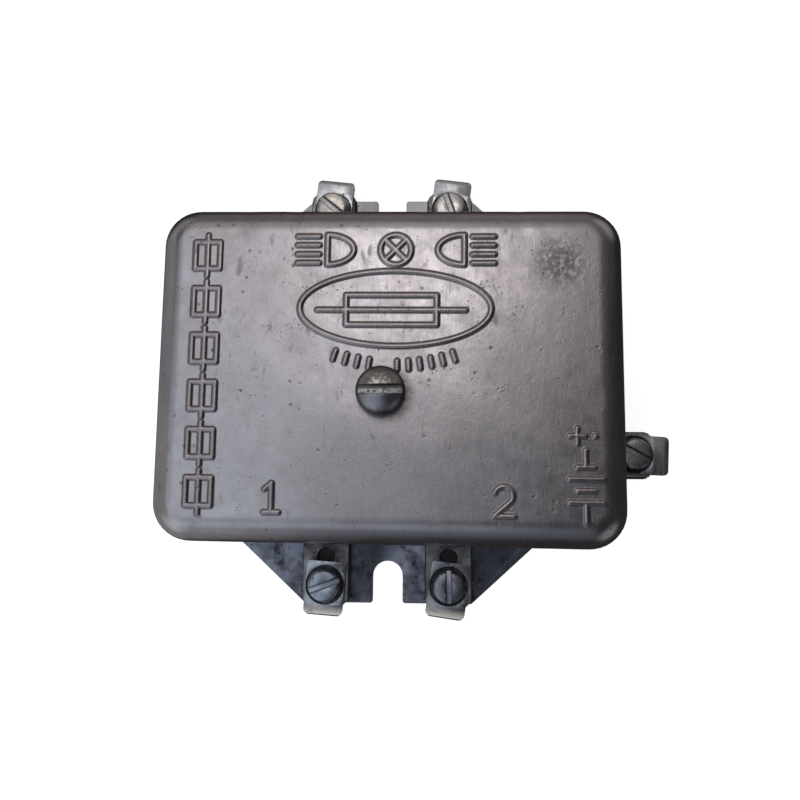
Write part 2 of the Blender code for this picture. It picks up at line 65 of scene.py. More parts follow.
# Sky: its light everywhere, and its glows by azimuth, tilt from overhead, inner and outer radius in degrees,
# and colour.
SKY_FLOOR = (0.031, 0.029, 0.030)
SKY_LIGHTS = [
    (92, 17, 4, 10, (1.44, 1.34, 1.32)),
    (104, 33, 12, 27, (0.260, 0.240, 0.235)),
    (82, 55, 10, 58, (0.135, 0.122, 0.124)),
    (90, 98, 8, 24, (0.120, 0.095, 0.095)),
    (166, 12, 3, 22, (0.250, 0.265, 0.295)),
    (168, 28, 16, 22, (0.290, 0.315, 0.360)),
    (204, 91, 49, 64, (0.235, 0.230, 0.240)),
    (250, 54, 0, 43, (0.095, 0.110, 0.140)),
    (234, 36, 0, 32, (0.300, 0.315, 0.355)),
]

# Four broad panels between the sides, which light the other views: tilt, inner and outer radius, and colour.
SIDE_PANELS = (78, 4, 28, (0.24, 0.245, 0.255))

# Weak light in front: place, target and size in metres, power in watts and colour.
FILL_PLACE = (0.0, -0.50, 0.20)
FILL_TARGET = (0, -0.05, 0)
FILL_SIZE = (0.40, 0.20)
FILL_POWER = 0.6
FILL_COLOUR = (1.0, 0.98, 0.95)

# Angle in degrees above which an edge of a small piece and of the cover looks sharp.
PIECE_SHARP = 35
COVER_SHARP = 50

# Cover: plan corner, shoulder, draft, sheet, notches, the cells of its face and how finely marks divide them.
COVER_PLAN_RADIUS = 9.2
COVER_SHOULDER = 6.0
COVER_DRAFT = 0.3
COVER_SHEET = 0.9
COVER_NOTCH_HIGH = 10.4
COVER_NOTCH_WIDTH = 13.5
COVER_HOLE_RADIUS = 3.3
COVER_SKEW = 0.55
COVER_CELL = 0.6
CELL_PARTS = 4
SHOULDER_RINGS = 14

# Shallow dents in the cover: place, size and depth.
DENTS = [
    (-30, 22, 7, 0.06), (33, 4, 9, 0.05), (-12, -22, 8, 0.05), (12, -14, 5, -0.04), (40, 27, 5, 0.05),
    (-34, 37, 2.2, 0.16), (-22, 38.5, 1.8, 0.10), (9, 38, 2.5, 0.08), (31, 37.5, 2, 0.12),
]

# Raised marks pressed into the cover: half widths of their top and of their foot, crown and height, how far
# from a stroke's middle its grimy line of painted crease shade lies and how wide that is.
STROKE_TOP = 0.44
STROKE_FOOT = 0.76
STROKE_CROWN = 0.08
STROKE_HEIGHT = 0.34
GRIME_AND_SHADE_OFFSET = 0.68
GRIME_AND_SHADE_WIDTH = 0.16

# Middles of the corroded patch and of the soiling round the cover's screw, which is partly a painted shadow.
CORRODED_PLACE = (41, 28, 25)
SCREW_DIRT_AND_SHADOW_PLACE = (0.0, -3.3, 25)

# Screws: radii of the thread and of the tip, height of the tip's chamfer, how far the thread starts above the
# tip and ends below the head, its pitch and depth, the head's height, width and depth of the driver slot, how
# far the head's edges are rounded, and steps per turn.
Screw = namedtuple("Screw", "radius tip chamfer start runout pitch groove head width depth edge steps")
COVER_SCREW = Screw(2.95, 2.1, 0.7, 0.8, 1.0, 1.0, 0.45, 3.5, 2.1, 1.55, 0.16, 64)
TERMINAL_SCREW = Screw(1.95, 1.35, 0.45, 0.5, 0.6, 0.7, 0.32, 3.0, 1.4, 1.2, 0.08, 56)

# Points per turn of a thread, and the radius of a fuse's caps.
THREAD_PARTS = 8
CAP_RADIUS = 3.175

# Terminals: outward direction, skew of the clamp and angle of the screw's slot, in degrees, how far the clamp
# reaches beyond its screw, how worn its outer lip is with a painted highlight, how stained it is, how much
# brighter than the head the floor of the screw's slot is, and the plating of clamp and screw.
Terminal = namedtuple("Terminal", "outward skew slot reach wear stains tint clamp screw")
TERMINALS = {
    "upper_left": Terminal(90, -6, -39, 8.2, 0.15, 0.25, 1.0, (0.90, 0.95, 0.97), (0.97, 0.94, 0.86)),
    "upper_right": Terminal(90, -7, -70, 8.4, 0.15, 0.35, 1.0, (0.88, 0.93, 0.94), (0.93, 0.93, 0.88)),
    "lower_left": Terminal(-90, -4, 20, 7.4, 1.0, 0.55, 0.95, (0.54, 0.60, 0.67), (0.56, 0.65, 0.76)),
    "lower_right": Terminal(-90, -8, 91, 7.8, 0.9, 0.8, 1.5, (0.42, 0.45, 0.48), (0.34, 0.36, 0.42)),
    "battery": Terminal(0, -3, -29, 8.8, 0.1, 0.6, 1.0, (0.50, 0.52, 0.54), (0.46, 0.46, 0.47)),
}

# The four outputs, and the usual colour of a stain on plated metal.
SIDES = ("upper_left", "upper_right", "lower_left", "lower_right")
STAIN = (0.05, 0.05, 0.055)


# ---- frame helpers

def box_mm(node):
    low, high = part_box(node)
    return low / MM, high / MM


def middle_mm(node):
    low, high = box_mm(node)
    return (low + high) / 2


def round_mm(node):
    """Radius, lowest and highest point of a node that is round about Z."""
    low, high = box_mm(node)
    return (high.x - low.x) / 2, low.z, high.z


# ---- mesh helpers

def add_object(name, data):
    made = bpy.data.objects.new(name, data)
    bpy.context.collection.objects.link(made)
    return made


def as_mesh(name, bm):
    """A mesh of a bmesh, which is used up."""
    mesh = bpy.data.meshes.new(name)
    bm.to_mesh(mesh)
    bm.free()
    return mesh


def add_piece(name, bm, body, node, finish):
    """Make a piece of a bmesh drawn in millimetres, riding on a body in place of a CAD node."""
    bmesh.ops.recalc_face_normals(bm, faces=bm.faces)
    bmesh.ops.scale(bm, vec=(MM, MM, MM), verts=bm.verts)
    add_mesh_piece(name, as_mesh(name, bm), PIECE_SHARP, body, node, finish)


def add_mesh_piece(name, mesh, sharp, body, node, finish):
    """Make a piece of a mesh in metres, whose edges look sharp from an angle in degrees."""
    mesh.shade_smooth()
    mesh.set_sharp_from_angle(angle=math.radians(sharp))
    mesh.materials.append(finish.material)
    piece = add_object(name, mesh)
    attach(piece, body)
    if node:
        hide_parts(node)


def mark(bm, name, value_at):
    """Store a number worked out from each vertex's place, for the material to read."""
    layer = bm.verts.layers.float.new(name)
    for vert in bm.verts:
        vert[layer] = value_at(vert.co)


def put_in_place(bm, place, angle):
    """Turn a piece drawn about Z and move it over its place, storing where each vertex was drawn."""
    layer = bm.verts.layers.float_vector.new("local")
    for vert in bm.verts:
        vert[layer] = vert.co
    bm.transform(Matrix.Translation((place[0], place[1], 0)) @ Matrix.Rotation(math.radians(angle), 4, "Z"))
    return bm


def loft(sections, bm=None):
    """Join sections, equal rings of points, into one closed shape with a flat face at each end."""
    if bm is None:
        bm = bmesh.new()
    rings = [[bm.verts.new(point) for point in section] for section in sections]
    bm.faces.new(reversed(rings[0]))
    bm.faces.new(rings[-1])
    count = len(rings[0])
    for lower, upper in zip(rings, rings[1:]):
        for i in range(count):
            j = (i + 1) % count
            bm.faces.new((lower[i], lower[j], upper[j], upper[i]))
    return bm


def prisms(outlines, low, high):
    """An upright prism on each outline, all in one new bmesh."""
    bm = bmesh.new()
    for outline in outlines:
        loft([[(x, y, z) for x, y in outline] for z in (low, high)], bm)
    return bm


def rectangle(x_low, x_high, y_low, y_high):
    return [(x_low, y_low), (x_high, y_low), (x_high, y_high), (x_low, y_high)]


def arc(centre, radius, start, end, steps):
    """Points of an arc, with its angles in degrees; radius may be a pair for an ellipse."""
    rx, ry = radius if isinstance(radius, tuple) else (radius, radius)
    angles = [math.radians(start + (end - start) * i / steps) for i in range(steps + 1)]
    return [(centre[0] + rx * math.cos(a), centre[1] + ry * math.sin(a)) for a in angles]


def circle(centre, radius, steps):
    return arc(centre, radius, 0, 360, steps)[:-1]


def cut_ring(inner, outer, low, high, edge):
    """Profile of a ring whose four edges are cut back."""
    return [(inner + edge, low), (outer - edge, low), (outer, low + edge), (outer, high - edge),
            (outer - edge, high), (inner + edge, high), (inner, high - edge), (inner, low + edge)]


def groove(thread, angle, height):
    """Depth of a helical groove at an angle and height; thread is (low, high, pitch, depth)."""
    if not thread or not thread[0] < height < thread[1]:
        return 0.0
    low, high, pitch, depth = thread
    phase = ((height - low) / pitch - angle / math.tau) % 1.0
    fade = min(1.0, (height - low) / pitch, (high - height) / pitch)
    return depth * fade * (1 - abs(2 * phase - 1))


def thread_profile(radius, thread):
    """Points close enough together along a thread to show its groove."""
    low, high, pitch, _ = thread
    steps = round((high - low) / pitch * THREAD_PARTS)
    return [(radius, low + (high - low) * i / steps) for i in range(steps + 1)]


def turned(profile, steps, closed=False, at=(0, 0), thread=None):
    """A shape turned about a vertical axis from (radius, height) points, with an optional thread."""
    bm = bmesh.new()
    rings = []
    for radius, height in profile:
        ring = []
        for i in range(steps if radius else 1):
            angle = math.tau * i / steps
            r = radius - groove(thread, angle, height)
            ring.append(bm.verts.new((at[0] + r * math.cos(angle), at[1] + r * math.sin(angle), height)))
        rings.append(ring)
    pairs = list(zip(rings, rings[1:]))
    if closed:
        pairs.append((rings[-1], rings[0]))
    for lower, upper in pairs:
        for i in range(steps):
            j = i + 1
            corners = [ring[k % len(ring)] for ring, k in ((lower, i), (lower, j), (upper, j), (upper, i))]
            bm.faces.new(dict.fromkeys(corners))
    return bm


def bent_strip(path, widths, thickness):
    """A strip of sheet bent along (x, z) points of its middle layer, with its width in Y at each point."""
    points = [Vector(point) for point in path]
    runs = [(b - a).normalized() for a, b in zip(points, points[1:])]
    sections = []
    for i, (point, width) in enumerate(zip(points, widths)):
        before = runs[max(i - 1, 0)]
        after = runs[min(i, len(runs) - 1)]
        along = (before + after).normalized()
        side = Vector((-along.y, along.x)) * (thickness / 2 / along.dot(before))
        half = width / 2
        corners = [(point + side, -half), (point + side, half), (point - side, half), (point - side, -half)]
        sections.append([(corner.x, y, corner.y) for corner, y in corners])
    return loft(sections)


def carve(solid, cutter):
    """The solid without the cutter's shapes, by an exact Boolean. Both are bmeshes and are used up."""
    made = []
    for bm in (solid, cutter):
        bmesh.ops.recalc_face_normals(bm, faces=bm.faces)
        made.append(add_object("carving", as_mesh("carving", bm)))
    difference = made[0].modifiers.new("cut", "BOOLEAN")
    difference.operation = "DIFFERENCE"
    difference.solver = "EXACT"
    difference.object = made[1]
    depsgraph = bpy.context.evaluated_depsgraph_get()
    carved = bmesh.new()
    carved.from_mesh(made[0].evaluated_get(depsgraph).to_mesh())
    for old in made:
        mesh = old.data
        bpy.data.objects.remove(old)
        bpy.data.meshes.remove(mesh)
    return carved


def soften(bm, width, angle, where=None):
    """Round the edges of a bmesh above an angle, all of them or those whose middle passes a test."""
    bmesh.ops.remove_doubles(bm, verts=bm.verts, dist=0.0005)
    bmesh.ops.dissolve_degenerate(bm, edges=bm.edges, dist=0.0005)
    limit = math.radians(angle)
    edges = []
    for edge in bm.edges:
        if len(edge.link_faces) == 2 and edge.calc_face_angle() > limit:
            middle = (edge.verts[0].co + edge.verts[1].co) / 2
            if where is None or where(middle):
                edges.append(edge)
    bmesh.ops.bevel(bm, geom=edges, offset=width, offset_type="OFFSET", segments=2, profile=0.5,
                    affect="EDGES", clamp_overlap=True)
    return bm


# ---- material helpers

class Nodes:
    """A node tree, with short calls for the nodes used here."""

    def __init__(self, tree):
        self.tree = tree

    def put(self, socket, value):
        if isinstance(value, bpy.types.NodeSocket):
            self.tree.links.new(value, socket)
        elif isinstance(value, tuple) and len(value) == 3 and socket.type == "RGBA":
            socket.default_value = (*value, 1.0)
        else:
            socket.default_value = value

    def node(self, kind, inputs, output=0, **settings):
        """Add a node and give one of its outputs."""
        made = self.tree.nodes.new("ShaderNode" + kind)
        for key, value in settings.items():
            setattr(made, key, value)
        for key, value in inputs.items():
            self.put(made.inputs[key], value)
        return made.outputs[output]

    def step(self, value, low, high, start=0.0, end=1.0):
        """Smooth step of a value from start at low to end at high."""
        inputs = {"Value": value, "From Min": low, "From Max": high, "To Min": start, "To Max": end}
        return self.node("MapRange", inputs, interpolation_type="SMOOTHSTEP")

    def calc(self, operation, a, b=0.0):
        return self.node("Math", {0: a, 1: b}, operation=operation)

    def times(self, a, b):
        return self.calc("MULTIPLY", a, b)

    def most(self, first, *others):
        """The greatest of some values."""
        for other in others:
            first = self.calc("MAXIMUM", first, other)
        return first

    def mix(self, factor, a, b):
        return self.node("Mix", {0: factor, 6: a, 7: b}, 2, data_type="RGBA")


class Finish(Nodes):
    """One material, textured in its object's own space."""

    def __init__(self, name):
        self.material = bpy.data.materials.new(name)
        self.material.use_nodes = True
        super().__init__(self.material.node_tree)
        self.shader = self.tree.nodes["Principled BSDF"]
        self.place = self.node("TexCoord", {}, "Object")

    def set(self, **values):
        for key, value in values.items():
            self.put(self.shader.inputs[key.replace("_", " ").title().replace("Ior", "IOR")], value)

    def coat(self, amount, colour, rougher=0.0):
        """Lay another colour over the finish so far, and add roughness, by an amount."""
        base, rough = (self.shader.inputs[key] for key in ("Base Color", "Roughness"))
        under = base.links[0].from_socket if base.is_linked else tuple(base.default_value)[:3]
        self.put(base, self.mix(amount, under, colour))
        if rougher:
            self.put(rough, self.calc("ADD", rough.links[0].from_socket, self.times(amount, rougher)))

    def bump(self, height, distance):
        """Chain another bump, with its distance in metres, onto the shader's normal."""
        normal = self.shader.inputs["Normal"]
        inputs = {"Height": height, "Distance": distance}
        if normal.is_linked:
            inputs["Normal"] = normal.links[0].from_socket
        self.put(normal, self.node("Bump", inputs))

    def dents(self, amount, depth):
        """Sink the surface where an amount is high, by a depth in metres."""
        self.bump(self.calc("SUBTRACT", 1.0, amount), depth)

    def mapped(self, place=None, **change):
        return self.node("Mapping", {"Vector": place or self.place, **change})

    def noise(self, scale, detail=3.0, roughness=0.55, stretch=(1, 1, 1), distortion=0.0, place=None):
        inputs = {"Vector": self.mapped(place, Scale=stretch), "Scale": scale, "Detail": detail,
                  "Roughness": roughness, "Distortion": distortion}
        return self.node("TexNoise", inputs)

    def spots(self, scale, inner, outer, strength=1.0):
        """Round spots in the middles of random cells, fading from their inner to their outer size."""
        distance = self.node("TexVoronoi", {"Vector": self.place, "Scale": scale})
        return self.step(distance, inner, outer, strength, 0.0)

    def band(self, value, low, low_full, high_full, high):
        """One between two values, with a soft edge at each side."""
        return self.times(self.step(value, low, low_full), self.step(value, high_full, high, 1.0, 0.0))

    def along(self, axis):
        """Place along one of the frame's axes in millimetres."""
        return self.calc("DIVIDE", self.node("SeparateXYZ", {0: self.place}, axis), MM)

    def stored(self, name, output="Fac"):
        return self.node("Attribute", {}, output, attribute_name=name)

    def drawn_y(self):
        """Place along Y in millimetres before the piece was turned into place."""
        return self.node("SeparateXYZ", {0: self.stored("local", "Vector")}, "Y")

    def drawn_radius(self):
        """Distance in millimetres from the piece's own turning axis."""
        drawn = self.stored("local", "Vector")
        flat = self.node("VectorMath", {0: drawn, 1: (1, 1, 0)}, operation="MULTIPLY")
        return self.node("VectorMath", {0: flat}, "Value", operation="LENGTH")

    def near(self, centre, inner, outer):
        """One within inner millimetres of a place, falling to zero at outer millimetres."""
        centre = tuple(value * MM for value in centre)
        distance = self.node("VectorMath", {0: self.place, 1: centre}, "Value", operation="DISTANCE")
        return self.step(distance, inner * MM, outer * MM, 1.0, 0.0)


def scaled(colour, factor):
    """A colour made darker or lighter, up to a pale grey."""
    return tuple(min(0.85, value * factor) for value in colour)


# ---- materials

def cover_finish():
    """Bare satin steel, brushed along Y, with pits, smears, scratches, soiling and painted crease shade along
    the marks.
    """
    f = Finish("cover_satin_steel")
    mottle = f.noise(260, 5, 0.6)
    cloud = f.noise(1, 4, 0.65, stretch=(150, 75, 150), distortion=0.3)
    streaks = f.noise(1, 3, stretch=(5200, 170, 5200))
    fine = f.noise(2600, 3, 0.6)
    f.set(base_color=(0.54, 0.52, 0.53), metallic=1.0)
    f.coat(f.step(f.noise(30, 4), 0.35, 0.65), (0.61, 0.60, 0.62))
    f.coat(f.step(cloud, 0.42, 0.68, 0.0, 0.35), (0.46, 0.435, 0.44))
    f.coat(f.step(mottle, 0.40, 0.75, 0.0, 0.30), (0.39, 0.365, 0.375))
    f.coat(f.step(streaks, 0.45, 0.70, 0.0, 0.12), (0.70, 0.69, 0.71))
    # The shoulders and walls coated darker brown, more so towards +Y.
    darker_shoulders = f.times(f.step(f.along("Z"), 24.9, 22.5), f.step(f.along("Y"), -20, 20, 0.1, 0.5))
    f.coat(darker_shoulders, (0.33, 0.28, 0.28))

    smear_shape = f.noise(1, 4, 0.6, stretch=(420, 150, 420), distortion=0.4)
    smears = f.step(smear_shape, 0.60, 0.74, 0.0, 0.55)
    pits = f.times(f.spots(330, 0.07, 0.19), f.step(f.noise(95, 2), 0.50, 0.64))
    specks = f.times(f.spots(1150, 0.12, 0.30, 0.8), f.step(f.noise(210, 3, 0.7), 0.52, 0.68))
    corroded = f.times(f.near(CORRODED_PLACE, 1, 8.5), f.step(f.noise(800, 4, 0.7), 0.40, 0.62))
    # Soiling in a ring round the cover's screw head, partly a painted shadow of the head.
    screw_dirt_and_shadow = f.times(f.near(SCREW_DIRT_AND_SHADOW_PLACE, 4.5, 7.6), f.step(f.noise(900, 4, 0.7), 0.30, 0.60, 0.45, 1.0))
    # All the soiling, with the partly painted shadow round the screw among it.
    dirt_and_shadow = f.most(smears, pits, specks, corroded, screw_dirt_and_shadow)
    # A grimy line with painted crease shade at the foot of each raised stroke.
    grime = f.times(f.stored("grime"), f.step(fine, 0.30, 0.62, 0.60, 1.0))

    thin = f.step(f.noise(1, 2, stretch=(260, 7600, 260), distortion=0.25), 0.70, 0.76)
    slanted = f.mapped(Rotation=(0, 0, math.radians(28)))
    cross = f.step(f.noise(1, 2, stretch=(7600, 330, 7600), distortion=0.2, place=slanted), 0.70, 0.75)
    scratches = f.times(f.most(thin, cross), f.step(f.noise(120, 2), 0.45, 0.60))

    f.coat(f.times(f.stored("raised"), 0.50), (0.37, 0.31, 0.315))
    f.coat(f.times(dirt_and_shadow, 0.55), (0.11, 0.095, 0.095))
    f.coat(f.times(grime, 0.75), (0.080, 0.062, 0.064))
    f.coat(f.times(scratches, 0.45), (0.80, 0.79, 0.80))
    rough = f.calc("ADD", f.step(mottle, 0.3, 0.7, 0.20, 0.28), f.step(streaks, 0.35, 0.65, -0.02, 0.03))
    f.set(roughness=f.calc("ADD", rough, f.times(f.most(dirt_and_shadow, grime), 0.22)))
    f.bump(streaks, 0.000004)
    f.bump(fine, 0.000006)
    f.dents(f.most(specks, corroded, pits), 0.00003)
    f.bump(f.noise(420, 3), 0.000022)
    return f


def plated_finish(name, light, darkening, roughness, stains, grain=(900, 900, 900), stain=STAIN):
    """Plated or bare sheet metal with mottling, stains, fine grain and specks."""
    f = Finish(name)
    mottle = f.noise(300, 5, 0.6)
    broad = f.noise(1, 5, 0.65, stretch=(190, 120, 190))
    fine = f.noise(1, 3, 0.6, stretch=grain)
    specks = f.times(f.spots(520, 0.08, 0.26), f.step(f.noise(160, 2), 0.5, 0.62))
    mottled = f.step(mottle, 0.3, 0.7, roughness - 0.05, roughness + 0.08)
    rough = f.calc("ADD", mottled, f.step(fine, 0.35, 0.65, -0.03, 0.04))
    f.set(base_color=light, metallic=1.0, roughness=rough)
    f.coat(f.step(mottle, 0.35, 0.70), scaled(light, darkening))
    f.coat(f.step(broad, 0.48, 0.66, 0.0, stains), stain, 0.2)
    f.coat(f.times(specks, 0.7), stain)
    f.bump(fine, 0.000008)
    f.bump(mottle, 0.000025)
    f.dents(specks, 0.00004)
    return f


def terminal_soil_and_shade(f, names, node, inward, inner, outer):
    """Patchy soiling and painted shade on a node's top round terminals, its middle some way inward of their
    screws.
    """
    height = box_mm(node)[1].z
    terminal_patches = []
    for name in names:
        place = middle_mm("terminal_screw_" + name)
        angle = math.radians(TERMINALS[name].outward)
        centre = (place.x - inward * math.cos(angle), place.y - inward * math.sin(angle), height)
        terminal_patches.append(f.near(centre, inner, outer))
    return f.times(f.most(*terminal_patches), f.step(f.noise(330, 4, 0.65, distortion=0.5), 0.38, 0.62, 0.25, 1.0))


def plate_finish():
    """Dull blue zinc, pale and smoother on the upper ears, blotched, and grimy with painted shade round the
    lower terminals.
    """
    f = plated_finish("zinc_plate_dull", (0.34, 0.37, 0.45), 0.64, 0.40, 0.85, stain=(0.035, 0.04, 0.06))
    # Dark patches round the lower terminals: soiling, and painted shade beside the strips and clamps.
    grime = terminal_soil_and_shade(f, ("lower_left", "lower_right"), "base_plate", 0.0, 6.0, 13.0)
    f.coat(f.times(grime, 0.75), (0.05, 0.055, 0.075), 0.1)
    # The upper ears (+Y) coated pale and made less rough.
    f.coat(f.step(f.along("Y"), 38, 45, 0.0, 0.9), (0.84, 0.86, 0.85), -0.17)
    return f


def strip_finish():
    """Tinned strip, dark with soiling and painted shade round its slotted hole."""
    f = plated_finish("tinned_strip", (0.40, 0.41, 0.42), 0.60, 0.38, 0.6)
    # Darker round the hole where the clamp's inner end sits: soiling and painted shade.
    grime = terminal_soil_and_shade(f, TERMINALS, "terminal_strip_upper_left", 6.7, 2.4, 4.6)
    f.coat(f.times(grime, 0.8), (0.06, 0.06, 0.065), 0.1)
    return f


def clamp_finish(name, colour, stains):
    """Zinc plate, worn pale with a painted highlight on the outer lip, dark with painted shade and soiling in
    the ring round the screw.
    """
    f = plated_finish(f"clamp_zinc_{name}", colour, 0.70, 0.18 + 0.2 * stains, stains, grain=(2200, 500, 900))
    # A dark ring in the recess under the screw head: painted shade, with some soiling, broken up by noise.
    ring = f.band(f.drawn_radius(), 3.65, 3.95, 4.55, 4.95)
    f.coat(f.times(ring, f.step(f.noise(500, 3), 0.3, 0.6, 0.5, 0.9)), (0.05, 0.055, 0.06), 0.15)
    # Pale, less metallic band along the top of the outer bend: partly worn metal, partly a painted highlight.
    worn = f.times(f.stored("lip"), f.step(f.noise(650, 4, 0.6), 0.28, 0.42))
    f.coat(worn, (0.80, 0.77, 0.70), 0.25)
    f.set(metallic=f.calc("SUBTRACT", 1.0, worn))
    return f


def screw_finish(name, colour, slot_half, slot_tint):
    """Zinc plated screw, pitted, scratched on its slot's floor, and darker along the slot's edges with
    painted shade.
    """
    f = plated_finish(f"screw_zinc_{name}", colour, 0.72, 0.28, 0.30, grain=(1500, 1500, 300))
    f.coat(f.step(f.noise(1500, 4, 0.7), 0.50, 0.70, 0.0, 0.55), scaled(colour, 0.45))
    floor = f.times(f.stored("slot_floor"), f.step(f.noise(1300, 4), 0.35, 0.55, 0.35, 1.0))
    f.coat(floor, scaled(colour, slot_tint), 0.12)
    across = f.calc("ABSOLUTE", f.drawn_y())
    # Dark bands along both edges of the slot: painted shade of its walls, partly grimy.
    beside = f.band(across, slot_half - 0.35, slot_half - 0.08, slot_half + 0.06, slot_half + 0.30)
    f.coat(f.times(beside, 0.75), (0.07, 0.065, 0.065), 0.1)
    f.bump(f.noise(1700, 3, 0.6), 0.00003)
    return f


def cover_screw_finish():
    """The cover's screw: upper half brown with bright flecks as a painted highlight, lower half a painted
    blue reflection, rim brown.
    """
    f = screw_finish("cover", (0.62, 0.61, 0.59), 1.05, 1.15)
    across = f.drawn_y()
    radius = f.drawn_radius()
    # Upper (+Y) half: coated brown, then flecked bright, fading towards the rim, as a painted highlight.
    upper = f.step(across, 0.9, 1.5)
    f.coat(f.times(upper, 0.65), (0.28, 0.25, 0.22))
    highlit_grains = f.times(f.step(f.noise(1150, 4, 0.7), 0.46, 0.58), upper)
    f.coat(f.times(highlit_grains, f.step(radius, 2.9, 4.4, 0.95, 0.0)), (0.95, 0.92, 0.84))
    # Lower (-Y) half painted dull blue, a painted reflection of cool light from that side.
    f.coat(f.step(across, -0.8, -1.8, 0.0, 0.75), (0.36, 0.39, 0.45))
    specks = f.times(f.stored("slot_floor"), f.step(f.noise(900, 4, 0.7), 0.52, 0.60))
    shaded = f.band(across, 0.0, 0.35, 1.0, 1.1)
    f.coat(f.times(f.most(specks, shaded), 0.85), (0.13, 0.115, 0.11), 0.1)
    f.coat(f.step(radius, 4.4, 5.5, 0.0, 0.8), (0.09, 0.075, 0.07), 0.15)
    return f


def board_finish():
    """Dark brown phenolic board with a faint woven surface and dust."""
    f = Finish("phenolic_board")
    weave = f.times(f.noise(1, 1, stretch=(3400, 500, 500)), f.noise(1, 1, stretch=(500, 3400, 500)))
    mottle = f.noise(420, 4, 0.6)
    f.set(base_color=(0.030, 0.020, 0.016), roughness=f.step(mottle, 0.3, 0.7, 0.42, 0.60))
    f.coat(f.step(mottle, 0.35, 0.70), (0.062, 0.038, 0.026))
    f.coat(f.step(f.noise(120, 4, 0.7), 0.50, 0.75, 0.0, 0.30), (0.16, 0.14, 0.12))
    f.bump(weave, 0.00003)
    f.bump(mottle, 0.00002)
    return f


def glass_finish():
    """Clear fuse glass with a thin film of dust."""
    f = Finish("fuse_glass_clear")
    film = f.noise(700, 4, 0.6)
    f.set(base_color=(0.93, 0.96, 0.95), roughness=f.step(film, 0.3, 0.8, 0.02, 0.12))
    f.set(ior=1.5, transmission_weight=1.0)
    f.coat(f.step(film, 0.4, 0.8), (0.86, 0.90, 0.89))
    f.bump(f.noise(160, 2), 0.00002)
    return f


def floor_finish():
    f = Finish("pale_floor")
    grain = f.noise(900, 3)
    f.set(base_color=(0.90, 0.90, 0.90), roughness=0.9)
    f.set(emission_color=(1.0, 1.0, 1.0), emission_strength=0.84)
    f.coat(f.step(grain, 0.3, 0.7), (0.94, 0.94, 0.94))
    f.bump(grain, 0.00002)
    return f


# ---- raised marks

def moved(lines, x, y):
    return [[(x + px, y + py) for px, py in line] for line in lines]


def fuse_symbol(length, width, lead):
    """The circuit symbol of a fuse: a box with a line through it."""
    box = rectangle(-length / 2, length / 2, -width / 2, width / 2)
    return [box + box[:1], [(-lead, 0), (lead, 0)]]


def lamp_symbol(radius):
    """The circuit symbol of a lamp: a ring with a cross in it."""
    reach = radius * math.sqrt(0.5)
    cross = [[(-reach, -reach), (reach, reach)], [(-reach, reach), (reach, -reach)]]
    return [arc((0, 0), radius, 0, 360, 32), *cross]


def beam_symbol(side):
    """A headlamp seen from its side: a bowl with a flat face, and four level rays."""
    bowl = [(-side * x, y) for x, y in arc((0, 0), (6.2, 3.6), -90, 90, 20)]
    return [bowl + bowl[:1], *([(side * 1.9, y), (side * 7.0, y)] for y in (-3.2, -1.1, 1.1, 3.2))]


def cell_symbol():
    """The circuit symbol of a battery, long and short plates in turn, with a plus and a dot beside it."""
    plates = [[(-half, y), (half, y)] for half, y in ((3.7, 4.4), (1.9, 7.0), (3.7, 9.6), (1.9, 12.2))]
    leads = [[(0, 0), (0, 4.4)], [(0, 12.2), (0, 16.0)]]
    plus = [[(-3.5, 19.2), (-0.1, 19.2)], [(-1.8, 17.5), (-1.8, 20.9)]]
    return plates + leads + plus + [[(2.2, 19.2), (2.3, 19.2)]]


def arched_dashes(centre, radius, groups, length):
    """Upright dashes in groups of (first, last, count) sideways places, on an arc that sags in the middle."""
    lines = []
    for first, last, count in groups:
        for i in range(count):
            dx = first + (last - first) * i / (count - 1)
            y = centre[1] + radius - math.sqrt(radius * radius - dx * dx)
            lean = dx / radius * length / 2
            x = centre[0] + dx
            lines.append([(x + lean, y - length / 2), (x - lean, y + length / 2)])
    return lines


def cover_marks():
    """Every raised stroke on the cover, as plain circuit symbols, digits and dashes."""
    lines = [arc((2.0, 17.0), (22.2, 8.9), 0, 360, 96)]
    lines += moved(fuse_symbol(21.0, 7.0, 17.2), 1.1, 16.6)
    lines += moved(beam_symbol(-1), -14.0, 31.0) + moved(beam_symbol(1), 18.0, 31.0)
    lines += moved(lamp_symbol(3.6), 2.0, 31.0)
    lines += arched_dashes((2.1, 3.6), 42.0, [(-14.0, -6.0, 4), (0.5, 13.5, 6)], 2.1)
    upright_fuse = [[(-y, x) for x, y in line] for line in fuse_symbol(6.4, 5.8, 4.9)]
    for row in range(6):
        lines += moved(upright_fuse, -42.2, 29.6 - 11.1 * row)
    digit_one = [[(-1.6, 1.9), (0, 3.3), (0, -3.3)], [(-1.7, -3.3), (1.7, -3.3)]]
    digit_two = [arc((0, 1.25), 2.05, 160, -35, 14) + [(-2.2, -3.3), (2.3, -3.3)]]
    lines += moved(digit_one, -25.5, -27.0) + moved(digit_two, 26.8, -27.0)
    return lines + moved(cell_symbol(), 45.2, -31.4)


def stroke_distance(xy, lines):
    """Distance of each point from the nearest stroke."""
    nearest = np.full(len(xy), 1e9)
    for line in lines:
        points = np.array(line, float)
        for a, b in zip(points, points[1:]):
            run = b - a
            t = np.clip(((xy - a) @ run) / max(run @ run, 1e-9), 0, 1)
            nearest = np.minimum(nearest, np.linalg.norm(xy - a - t[:, None] * run, axis=1))
    return nearest


def smooth_step(value, low, high):
    t = np.clip((value - low) / (high - low), 0, 1)
    return t * t * (3 - 2 * t)


# ---- cover

def square_to_disc(a, b):
    """Angle that sends a point of concentric squares to concentric circles, for a and b not negative."""
    with np.errstate(divide="ignore", invalid="ignore"):
        low = np.pi / 4 * b / a
        high = np.pi / 2 - np.pi / 4 * a / b
    return np.nan_to_num(np.where(a >= b, low, high))


